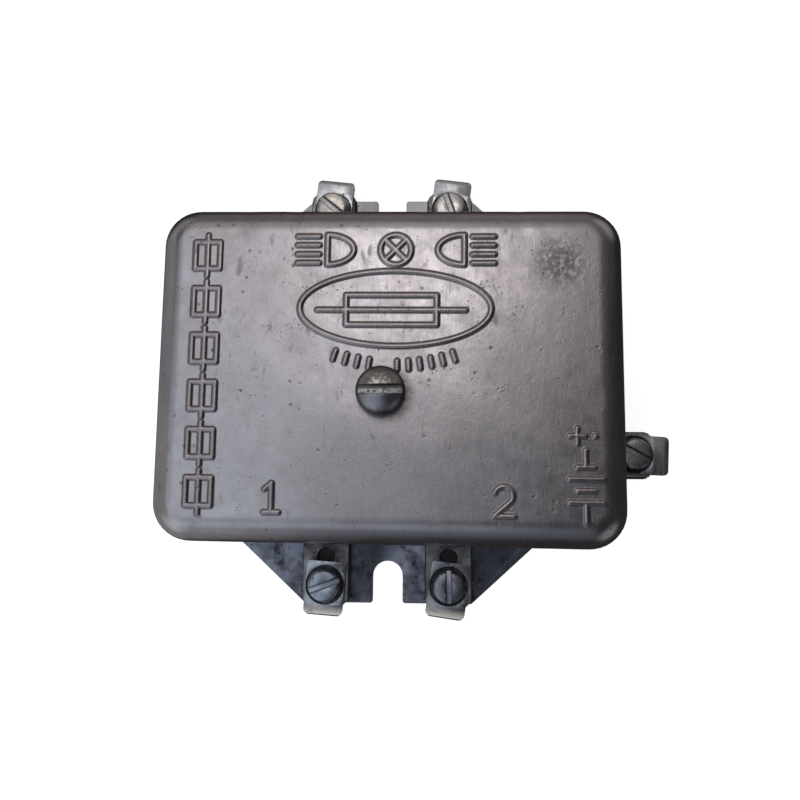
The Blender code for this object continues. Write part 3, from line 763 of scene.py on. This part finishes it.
def unevenness(xy):
    """Hand-worn waviness of the drawn sheet, in millimetres: long soft waves and a few shallow dents."""
    x, y = xy[:, 0], xy[:, 1]
    waves = 0.030 * np.sin(x / 9.1 + 0.7) * np.cos(y / 12.3 - 0.4) + 0.018 * np.sin((x + 1.7 * y) / 5.3)
    for cx, cy, size, depth in DENTS:
        waves -= depth * np.exp(-((x - cx) ** 2 + (y - cy) ** 2) / size ** 2)
    return waves


def skewed(points, centre, half):
    """The cover's points with its lower edge slightly out of square, as the hand-made pressing is."""
    along = (points[:, 0] - centre[0]) / half[0]
    down = np.clip((centre[1] - points[:, 1]) / half[1], 0, None)
    points[:, 1] -= COVER_SKEW * along * down
    return points


class CoverGrid:
    """Plan points of the cover's flat face, in cells of which those that carry marks are divided."""

    def __init__(self, centre, half, hole):
        self.flat = half - COVER_DRAFT - COVER_SHOULDER
        self.corner = COVER_PLAN_RADIUS - COVER_DRAFT - COVER_SHOULDER
        self.centre = centre
        self.cells = tuple(2 * round(side / COVER_CELL) for side in self.flat)
        counts = [cells * CELL_PARTS for cells in self.cells]
        lines = [np.linspace(-side, side, count + 1) for side, count in zip(self.flat, counts)]
        grid = self.round_corners(np.stack(np.meshgrid(*lines, indexing="ij"), -1)) + centre
        origin = [int(np.abs(line[::CELL_PARTS] + c - h).argmin()) for line, c, h in zip(lines, centre, hole)]
        ring_cells = round(0.9 * COVER_HOLE_RADIUS / COVER_CELL)
        self.open = np.zeros(self.cells, bool)
        self.open[tuple(slice(start - ring_cells, start + ring_cells) for start in origin)] = True
        spacing = lines[0][1] - lines[0][0]
        origin = [start * CELL_PARTS for start in origin]
        grid = self.round_hole(grid, origin, ring_cells * CELL_PARTS, spacing, hole)
        self.xy = grid.reshape(-1, 2)
        self.index = np.arange(len(self.xy)).reshape(grid.shape[:2])

    def round_corners(self, grid):
        beyond = np.maximum((np.abs(grid) - (self.flat - self.corner)) / self.corner, 0)
        a, b = beyond[..., 0], beyond[..., 1]
        theta = square_to_disc(a, b)
        reach = np.maximum(a, b) * self.corner
        bent = np.stack([reach * np.cos(theta), reach * np.sin(theta)], -1) + (self.flat - self.corner)
        return np.where(((a > 0) & (b > 0))[..., None], np.sign(grid) * bent, grid)

    def round_hole(self, grid, origin, inner, spacing, hole):
        i, j = np.meshgrid(*(np.arange(count) for count in grid.shape[:2]), indexing="ij")
        i, j = i - origin[0], j - origin[1]
        rank = np.maximum(np.abs(i), np.abs(j))
        theta = square_to_disc(np.abs(i).astype(float), np.abs(j).astype(float))
        radius = COVER_HOLE_RADIUS + (rank - inner) * spacing
        ring = np.stack([np.sign(i) * radius * np.cos(theta), np.sign(j) * radius * np.sin(theta)], -1) + hole
        outer = 3 * inner
        blend = np.clip((rank - inner) / (outer - inner), 0, 1)[..., None]
        return np.where((rank < outer)[..., None], (1 - blend) * ring + blend * grid, grid)

    def quads(self, chosen, part=None):
        """One quad for each chosen cell, or only its part at a place among the parts."""
        i, j = np.nonzero(chosen)
        i, j = i * CELL_PARTS, j * CELL_PARTS
        size = CELL_PARTS
        if part:
            i, j, size = i + part[0], j + part[1], 1
        index = self.index
        return np.stack([index[i, j], index[i + size, j], index[i + size, j + size], index[i, j + size]], -1)

    def divided_quads(self, chosen):
        parts = [(a, b) for a in range(CELL_PARTS) for b in range(CELL_PARTS)]
        return np.concatenate([self.quads(chosen, part) for part in parts])

    def bordering_faces(self, divided):
        """Cells beside divided ones, each with its neighbours' points along the shared sides."""
        padded = np.pad(divided, 1)
        sides = [padded[1:-1, :-2], padded[2:, 1:-1], padded[1:-1, 2:], padded[:-2, 1:-1]]
        bordering = (sides[0] | sides[1] | sides[2] | sides[3]) & ~divided & ~self.open
        n = CELL_PARTS
        paths = list(zip(*([(k, 0), (n, k), (n - k, n), (0, n - k)] for k in range(n))))
        faces = []
        for i, j in zip(*np.nonzero(bordering)):
            face = []
            for side, path in zip(sides, paths):
                steps = path if side[i, j] else path[:1]
                face += [int(self.index[i * n + a, j * n + b]) for a, b in steps]
            faces.append(face)
        return faces, bordering

    def edge_loop(self):
        """Points round the face's edge, anticlockwise, and the outward direction at each."""
        coarse = self.index[::CELL_PARTS, ::CELL_PARTS]
        loop = np.concatenate([coarse[:-1, 0], coarse[-1, :-1], coarse[:0:-1, -1], coarse[0, :0:-1]])
        relative = self.xy[loop] - self.centre
        beyond = np.maximum(np.abs(relative) - (self.flat - self.corner), 0)
        on_side = np.abs(relative) >= self.flat - 1e-6
        beyond[on_side] = np.maximum(beyond[on_side], 1e-9)
        normal = np.sign(relative) * beyond
        return loop, normal / np.linalg.norm(normal, axis=1)[:, None]


def cover_rings(top, low):
    """(offset, height) of the shoulder and wall rings, for the outer skin and for the inner one."""
    wall_top = top - COVER_SHOULDER
    heights = [*np.linspace(wall_top, COVER_NOTCH_HIGH, 7)[1:], *np.linspace(COVER_NOTCH_HIGH, low, 7)[1:]]
    skins = []
    for sheet in (0.0, COVER_SHEET):
        radius = COVER_SHOULDER - sheet
        rings = []
        for k in range(1, SHOULDER_RINGS + 1):
            angle = math.pi / 2 * k / SHOULDER_RINGS
            rings.append((radius * math.sin(angle), top - sheet - radius * (1 - math.cos(angle))))
        for z in heights:
            rings.append((radius + COVER_DRAFT * (wall_top - z) / (wall_top - low), z))
        skins.append(rings)
    return skins


def in_notch(edge_xy, normal):
    """Which columns of the wall, each from one point of the edge loop to the next, lie in a rim notch."""
    middle = (edge_xy + np.roll(edge_xy, -1, axis=0)) / 2
    inside = np.zeros(len(middle), bool)
    for name, look in TERMINALS.items():
        angle = math.radians(look.outward)
        outward = np.array([math.cos(angle), math.sin(angle)])
        across = np.array([-outward[1], outward[0]])
        place = np.array(middle_mm("terminal_screw_" + name)[:2])
        inside |= (normal @ outward > 0.99) & (np.abs((middle - place) @ across) < COVER_NOTCH_WIDTH / 2)
    return inside


def rim_quads(faces, shift):
    """Quads that close the open edges of one skin to the other, whose points come shift later."""
    starts = faces.ravel()
    ends = np.roll(faces, -1, axis=1).ravel()
    keys = np.minimum(starts, ends) * shift + np.maximum(starts, ends)
    _, first, counts = np.unique(keys, return_index=True, return_counts=True)
    edge = first[counts == 1]
    a, b = starts[edge], ends[edge]
    return np.stack([b, a, a + shift, b + shift], -1)


def wall_quads(loop, start, rings, notched):
    """Quads of the shoulder and wall below an edge loop, whose ring points begin at an index."""
    faces = []
    count = len(loop)
    above = loop
    for k, (_, z) in enumerate(rings):
        ring = start + k * count + np.arange(count)
        quads = np.stack([above, ring, np.roll(ring, -1), np.roll(above, -1)], -1)
        faces.append(quads[~notched] if z < COVER_NOTCH_HIGH - 1e-6 else quads)
        above = ring
    return np.concatenate(faces)


def make_cover(finish):
    low, high = (np.array(corner) for corner in box_mm("cover"))
    centre, half = (low[:2] + high[:2]) / 2, (high[:2] - low[:2]) / 2
    grid = CoverGrid(centre, half, np.array(middle_mm("cover_screw")[:2]))
    loop, normal = grid.edge_loop()
    edge_xy = grid.xy[loop]
    distance = stroke_distance(grid.xy, cover_marks())
    crown = STROKE_CROWN * (1 - np.clip(distance / STROKE_TOP, 0, 1) ** 2)
    flank = smooth_step(-distance, -STROKE_FOOT, -STROKE_TOP)
    raised = (STROKE_HEIGHT - STROKE_CROWN) * flank + crown
    inner_raised = 0.8 * STROKE_HEIGHT * smooth_step(-distance, -STROKE_FOOT - 0.4, -STROKE_TOP)

    skins = []
    waves, edge_waves = unevenness(grid.xy), unevenness(edge_xy + 2 * normal)
    both_rings = cover_rings(high[2], low[2])
    for rings, sheet, lift in zip(both_rings, (0.0, COVER_SHEET), (raised, inner_raised)):
        points = [np.c_[grid.xy, high[2] - sheet + waves + lift]]
        for k, (offset, z) in enumerate(rings):
            turn = math.pi / 2 * min(1.0, (k + 1) / SHOULDER_RINGS)
            sag = waves[loop] * math.cos(turn) + (edge_waves - waves[loop]) * math.sin(2 * turn)
            outward = (offset + sag * math.sin(turn))[:, None]
            points.append(np.c_[edge_xy + normal * outward, z + sag * math.cos(turn)])
        skins.append(skewed(np.concatenate(points), centre, half))
    points = np.concatenate(skins)

    shift = len(skins[0])
    near_mark = (distance < STROKE_FOOT + 0.5).reshape(grid.index.shape)
    divided = np.zeros(grid.cells, bool)
    for a in range(CELL_PARTS + 1):
        for b in range(CELL_PARTS + 1):
            divided |= near_mark[a:, b:][::CELL_PARTS, ::CELL_PARTS][:grid.cells[0], :grid.cells[1]]
    border_faces, bordering = grid.bordering_faces(divided)
    walls = wall_quads(loop, len(grid.xy), both_rings[0], in_notch(edge_xy, normal))
    inner = np.concatenate([grid.quads(~grid.open), walls])
    outer = [grid.quads(~grid.open & ~divided & ~bordering), grid.divided_quads(divided), walls]
    quads = np.concatenate([*outer, rim_quads(inner, shift), inner[:, ::-1] + shift])
    used = np.zeros(len(points), bool)
    used[quads] = True
    number = np.cumsum(used) - 1
    faces = number[quads].tolist() + [number[face].tolist() for face in border_faces]
    mesh = bpy.data.meshes.new("cover_shell")
    mesh.from_pydata((points[used] * MM).tolist(), [], faces)
    # A dark line at the foot of each stroke, partly soiling and partly painted crease shade.
    grime = np.exp(-((distance - GRIME_AND_SHADE_OFFSET) / GRIME_AND_SHADE_WIDTH) ** 2)
    for name, values in (("grime", grime), ("raised", flank)):
        shade = np.zeros(len(points), np.float32)
        shade[:len(grid.xy)] = values
        mesh.attributes.new(name, "FLOAT", "POINT").data.foreach_set("value", shade[used])
    add_mesh_piece("cover_shell", mesh, COVER_SHARP, "cover", "cover", finish)


# ---- screws and clamps

def domed_head(radius, low, high):
    dome = arc((0, low + 0.7), (radius, high - low - 0.7), 0, 81, 9)
    return [(radius - 0.45, low), (radius - 0.12, low + 0.25), *dome, (0, high)]


def cheese_head(radius, low, high):
    edge = arc((radius - 0.85, high - 0.92), 0.85, 0, 80, 8)
    return [(radius - 0.12, low), (radius, low + 0.12), (radius, high - 1.05), *edge,
            (radius * 0.5, high - 0.03), (0, high)]


def make_screw(piece, node, size, head, angle, finish):
    """A threaded screw, with a driver slot along its own X cut through its head."""
    radius, low, high = round_mm(node)
    head_low = high - size.head
    thread = (low + size.start, head_low - size.runout, size.pitch, size.groove)
    profile = [(0, low), (size.tip, low), (size.radius - 0.2, low + size.chamfer)]
    profile += thread_profile(size.radius, thread)
    neck = size.radius - 0.15
    profile += [(neck, head_low - size.runout / 2), (neck, head_low)]
    profile += head(radius, head_low, high)
    floor = high - size.depth
    half = size.width / 2
    cutter = prisms([rectangle(-radius - 1, radius + 1, -half, half)], floor, high + 1)
    bm = carve(turned(profile, size.steps, thread=thread), cutter)
    bm = soften(bm, size.edge, 38, where=lambda middle: middle.z > floor - 0.3)
    mark(bm, "slot_floor", lambda co: float(abs(co.z - floor) < 0.15 and abs(co.y) < half))
    put_in_place(bm, middle_mm(node), angle)
    add_piece(piece, bm, node, node, finish)


def make_washer(finish):
    radius, low, high = round_mm("cover_washer")
    ring = turned(cut_ring(3.1, radius, low, high, 0.12), 64, closed=True)
    slit = prisms([rectangle(0.5, radius + 1, -0.4, 0.4)], low - 1, high + 1)
    bm = put_in_place(carve(ring, slit), middle_mm("cover_washer"), -35)
    add_piece("cover_lock_washer", bm, "cover_washer", "cover_washer", finish)


def make_clamp(name, angle, reach, lip_wear_and_highlight, finish):
    """A plate with its outer end bent down, rounded corners and a pressed ring round its hole."""
    node = "clamp_" + name
    low, high = box_mm(node)
    thickness, bend_radius, inner_end, width, corner, inner_corner = 1.1, 0.95, -5.6, 9.5, 1.6, 0.7
    middle = high.z - thickness / 2
    bend_x = reach - thickness / 2 - bend_radius
    path = [(inner_end + step, middle) for step in (0.0, 0.12, 0.35, 0.7)]
    path += [(x, middle) for x in np.linspace(inner_end + 1.4, bend_x, 10)]
    path += arc((bend_x, middle - bend_radius), bend_radius, 86, 6, 10)
    path += [(path[-1][0] + 0.02 * k, z) for k, z in enumerate(np.linspace(path[-1][1] - 0.3, low.z, 4))]
    widths = []
    for x, _ in path:
        outer_x = bend_x + (x - bend_x) * (1 + thickness / 2 / bend_radius)
        past_outer = (outer_x if x > bend_x else x) - (reach - corner)
        pull = 0.0
        for size, past in ((corner, past_outer), (inner_corner, inner_end + inner_corner - x)):
            near = min(max(0.0, past), size)
            pull += size - math.sqrt(size * size - near * near)
        widths.append(width - 2 * pull)
    hole = turned([(0, low.z - 1), (2.3, low.z - 1), (2.3, high.z - 0.45), (4.45, high.z - 0.40),
                   (4.75, high.z + 0.2), (0, high.z + 0.2)], 48)
    bm = soften(carve(bent_strip(path, widths, thickness), hole), 0.13, 42)
    # Where the outer bend is pale: worn metal and a painted highlight band.
    mark(bm, "lip", lambda co: lip_wear_and_highlight * float(bend_x - 0.1 < co.x < reach - 0.4))
    put_in_place(bm, middle_mm("terminal_screw_" + name), angle)
    add_piece(f"wire_{node}", bm, node, node, finish)


# ---- base pieces

def make_base_plate(finish):
    low, high = box_mm("base_plate")
    ear, slot_radius, slot_depth, slant, corner = 21.2, 3.7, 10.3, 1.08, 0.7
    length, width = high.y, high.x
    side_y = length - (width - ear) / slant
    slant_angle = math.degrees(math.atan2(1, slant))
    left = arc((corner - ear, corner - length), corner, 180 + slant_angle, 270, 5)
    left += arc((-slot_radius - corner, corner - length), corner, 270, 360, 5)
    left += arc((0, slot_depth - slot_radius - length), slot_radius, 180, 90, 20)
    half = left + [(-x, y) for x, y in reversed(left[:-1])] + [(width, -side_y), (width, side_y)]
    outline = half + [(-x, -y) for x, y in half]
    rivets = [middle_mm(f"board_rivet_{number}")[:2] for number in range(1, 5)]
    holes = prisms([circle(place, 1.7, 32) for place in rivets], low.z - 1, high.z + 1)
    bm = soften(carve(prisms([outline], low.z, high.z), holes), 0.16, 50)
    add_piece("slotted_base_plate", bm, "base", "base_plate", finish)


def make_post(finish):
    outer, low, high = round_mm("cover_post")
    bore, bore_low = 3.1, 13.0
    thread = (bore_low + 0.4, high - 0.5, 1.0, -0.40)
    profile = [(0, low), (outer - 0.4, low), (outer, low + 0.4), (outer, high - 0.35)]
    profile += [(outer - 0.35, high), (bore + 0.4, high), (bore, high - 0.4)]
    profile += thread_profile(bore, thread)[::-1] + [(0, bore_low)]
    bm = turned(profile, 56, at=middle_mm("cover_post")[:2], thread=thread)
    add_piece("threaded_cover_post", bm, "base", "cover_post", finish)


def make_rivet(name, node, height, shank, finish):
    radius, low, high = round_mm(node)
    head_low = high - height
    profile = [(0, low), (shank - 0.15, low), (shank, low + 0.15), (shank, head_low)]
    profile.append((radius - 0.1, head_low))
    profile += arc((0, head_low + 0.1), (radius, height - 0.1), 0, 72, 6)
    profile += [(radius * 0.22, high - 0.03), (radius * 0.16, high - 0.16), (0, high - 0.18)]
    add_piece(name, turned(profile, 32, at=middle_mm(node)[:2]), "base", node, finish)


def make_clip(label, finish):
    """A spring clip: a U of thin strip with flared lips, held by a rivet through its floor."""
    node = "fuse_clip_" + label
    low, high = box_mm(node)
    place = middle_mm(node)
    thickness, corner, flare, flare_height = 0.5, 0.75, 0.9, 1.5
    half = CAP_RADIUS + 0.3 + thickness / 2
    base = low.z + thickness / 2
    top = high.z - 0.15
    right = arc((half - corner, base + corner), corner, -90, 0, 8)
    right += [(half, z) for z in np.linspace(base + corner + 0.6, top - flare_height - 0.3, 6)]
    right += [(half + flare * t * t, top - flare_height * (1 - t)) for t in (0.15, 0.35, 0.55, 0.75, 1.0)]
    path = [(-x, z) for x, z in reversed(right)] + right
    length = high.y - low.y
    widths = [length - 2 * taper for taper in (0.8, 0.35, 0.1)] + [length] * (len(right) - 3)
    hole = prisms([circle((0, 0), 1.6, 28)], low.z - 1, low.z + 1.2)
    bm = soften(carve(bent_strip(path, widths + widths[::-1], thickness), hole), 0.07, 45)
    bm.transform(Matrix.Translation((place.x, place.y, 0)))
    add_piece(f"spring_clip_{label}", bm, "base", node, finish)


def lay_along_y(bm, centre, flip=0):
    """Turn a piece drawn about Z so that it lies along Y through a centre, from either end."""
    bm.transform(Matrix.Translation(centre) @ Matrix.Rotation(math.radians(flip - 90), 4, "X"))
    return bm


def fuse_link(reach):
    """The link in a fuse: a thin strip along Z, necked in its middle, with a twist and a sway."""
    sections = []
    for t in np.linspace(0, 1, 49):
        neck = 0.28 + 0.32 * smooth_step(abs(2 * t - 1), 0.12, 0.34)
        twist = 1.3 * math.sin(math.pi * t) + 0.4
        sway = 0.35 * math.sin(3 * math.pi * t)
        c, s = math.cos(twist), math.sin(twist)
        corners = rectangle(-neck, neck, -0.07, 0.07)
        sections.append([(x * c - y * s + sway, x * s + y * c, (2 * t - 1) * reach) for x, y in corners])
    return loft(sections)


def make_fuse(side, glass, cap, link):
    body = "fuse_" + side
    tube = "fuse_glass_" + side
    low, high = box_mm(tube)
    centre = middle_mm(tube)
    half_glass = (high.y - low.y) / 2
    bm = turned(cut_ring(1.9, 2.5, -half_glass, half_glass, 0.12), 40, closed=True)
    add_piece("glass_tube_" + side, lay_along_y(bm, centre), body, tube, glass)
    end, mouth, floor, outer, bore = 15.0, 9.0, 14.4, CAP_RADIUS, 2.8
    cup = [(0, end - 0.08), (0.55, end - 0.08), (0.7, end), (outer - 0.45, end)]
    cup += reversed(arc((outer - 0.35, end - 0.35), 0.35, 0, 80, 5))
    cup += [(outer, end - 3.9), (outer - 0.12, end - 4.1), (outer - 0.12, end - 4.4), (outer, end - 4.6)]
    cup += [(outer, mouth + 0.08), (outer - 0.08, mouth), (bore + 0.05, mouth), (bore, mouth + 0.08)]
    cup += [(bore, floor), (0, floor)]
    for end_name, flip in (("a", 0), ("b", 180)):
        bm = lay_along_y(turned(cup, 48), centre, flip)
        cap_node = f"fuse_cap_{side}_{end_name}"
        add_piece(f"end_cap_{side}_{end_name}", bm, body, cap_node, cap)
    bm = lay_along_y(fuse_link(floor - 0.05), centre)
    add_piece("fuse_link_" + side, bm, body, None, link)


def dress_node(name, finish):
    """Give a CAD node that stays its finish and slightly rounded edges."""
    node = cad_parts[name]
    node.data.materials.clear()
    node.data.materials.append(finish.material)
    weld = node.modifiers.new("weld", "WELD")
    weld.merge_threshold = 0.00001
    rounding = node.modifiers.new("rounding", "BEVEL")
    rounding.width = 0.12 * MM
    rounding.segments = 2
    rounding.limit_method = "ANGLE"
    rounding.angle_limit = math.radians(40)


# ---- stage

def make_camera():
    place, target = Vector(CAMERA_PLACE), Vector(CAMERA_TARGET)
    back = (place - target).normalized()
    right = Vector((math.sin(CAMERA_ROLL), math.cos(CAMERA_ROLL), 0)).cross(back).normalized()
    up = back.cross(right)
    data = bpy.data.cameras.new("camera")
    data.lens = CAMERA_LENS
    data.sensor_width = 36.0
    data.clip_start = 0.01
    data.clip_end = 20.0
    camera = add_object("camera", data)
    camera.matrix_world = Matrix.Translation(place) @ Matrix((right, up, back)).transposed().to_4x4()
    bpy.context.scene.camera = camera


def make_fill_light():
    """A weak soft light in front, left out of reflections."""
    data = bpy.data.lights.new("front_fill", "AREA")
    data.shape = "RECTANGLE"
    data.size, data.size_y = FILL_SIZE
    data.energy = FILL_POWER
    data.color = FILL_COLOUR
    light = add_object("front_fill", data)
    light.location = FILL_PLACE
    aim = Vector(FILL_TARGET) - Vector(FILL_PLACE)
    light.rotation_euler = aim.to_track_quat("-Z", "Y").to_euler()
    light.visible_camera = False
    light.visible_glossy = False


def make_world():
    """A soft studio sky: a dim room with a few broad glows, the brightest above and behind."""
    world = bpy.data.worlds.new("studio")
    world.use_nodes = True
    sky = Nodes(world.node_tree)
    direction = sky.node("TexCoord", {}, "Generated")
    total = SKY_FLOOR
    panels = [(azimuth, *SIDE_PANELS) for azimuth in (45, 135, 225, 315)]
    for azimuth, tilt, inner, outer, colour in SKY_LIGHTS + panels:
        a, t = math.radians(azimuth), math.radians(tilt)
        axis = (math.sin(t) * math.cos(a), math.sin(t) * math.sin(a), math.cos(t))
        nearness = sky.node("VectorMath", {0: direction, 1: axis}, "Value", operation="DOT_PRODUCT")
        amount = sky.step(nearness, math.cos(math.radians(outer)), math.cos(math.radians(inner)))
        glow = sky.node("VectorMath", {0: colour, "Scale": amount}, operation="SCALE")
        total = sky.node("VectorMath", {0: total, 1: glow}, operation="ADD")
    sky.put(world.node_tree.nodes["Background"].inputs["Color"], total)
    bpy.context.scene.world = world


def make_stage_piece(name, profile, finish):
    """A turned floor or backdrop from (radius, height) points in metres, left out of reflections."""
    mesh = as_mesh(name, turned(profile, 64))
    mesh.shade_smooth()
    mesh.materials.append(finish.material)
    piece = add_object(name, mesh)
    piece.visible_glossy = False
    return piece


def make_stage():
    """A pale floor that curves up into a backdrop all round, the sky and a weak light in front."""
    finish = floor_finish()
    make_stage_piece("floor", [(0, -FLOOR_GAP), (4, -FLOOR_GAP)], finish)
    curve = [(radius, height - FLOOR_GAP) for radius, height in arc((4, 2), 2, -90, 0, 12)]
    backdrop = make_stage_piece("backdrop", curve + [(6, 6)], finish)
    backdrop.visible_diffuse = False
    backdrop.visible_shadow = False
    make_world()
    make_fill_light()
    scene = bpy.context.scene
    scene.view_settings.view_transform = "Standard"
    scene.view_settings.look = "None"


# ---- the whole object

def make_terminals(nut_finish):
    for name, look in TERMINALS.items():
        node = "terminal_screw_" + name
        finish = screw_finish(name, look.screw, TERMINAL_SCREW.width / 2, look.tint)
        make_screw(f"screw_{name}_head", node, TERMINAL_SCREW, cheese_head, look.slot, finish)
        finish = clamp_finish(name, look.clamp, look.stains)
        make_clamp(name, look.outward + look.skew, look.reach, look.wear, finish)
        dress_node("terminal_nut_" + name, nut_finish)


def make_object():
    cover_screw = cover_screw_finish()
    plate = plate_finish()
    strip = strip_finish()
    brass = plated_finish("plain_brass", (0.66, 0.50, 0.25), 0.74, 0.32, 0.3)
    spring = plated_finish("spring_brass", (0.72, 0.58, 0.33), 0.77, 0.28, 0.3)
    nickel = plated_finish("nickel_cap", (0.70, 0.68, 0.63), 0.83, 0.20, 0.15)
    link = plated_finish("link_tin", (0.62, 0.60, 0.56), 0.80, 0.30, 0.1)
    glass = glass_finish()

    make_cover(cover_finish())
    make_screw("cover_screw_round_head", "cover_screw", COVER_SCREW, domed_head, 1, cover_screw)
    make_washer(cover_screw)
    make_terminals(brass)
    make_base_plate(plate)
    make_post(plate)
    dress_node("insulator_board", board_finish())
    dress_node("bus_bar", strip)
    for side in SIDES:
        dress_node("terminal_strip_" + side, strip)
        make_fuse(side, glass, nickel, link)
        for end in ("inner", "outer"):
            label = f"{side}_{end}"
            make_clip(label, spring)
            make_rivet(f"tubular_rivet_{label}", "clip_rivet_" + label, 0.5, 1.3, brass)
    for number in range(1, 5):
        make_rivet(f"board_fixing_{number}", f"board_rivet_{number}", 0.9, 1.4, brass)


make_camera()
make_stage()
make_object()
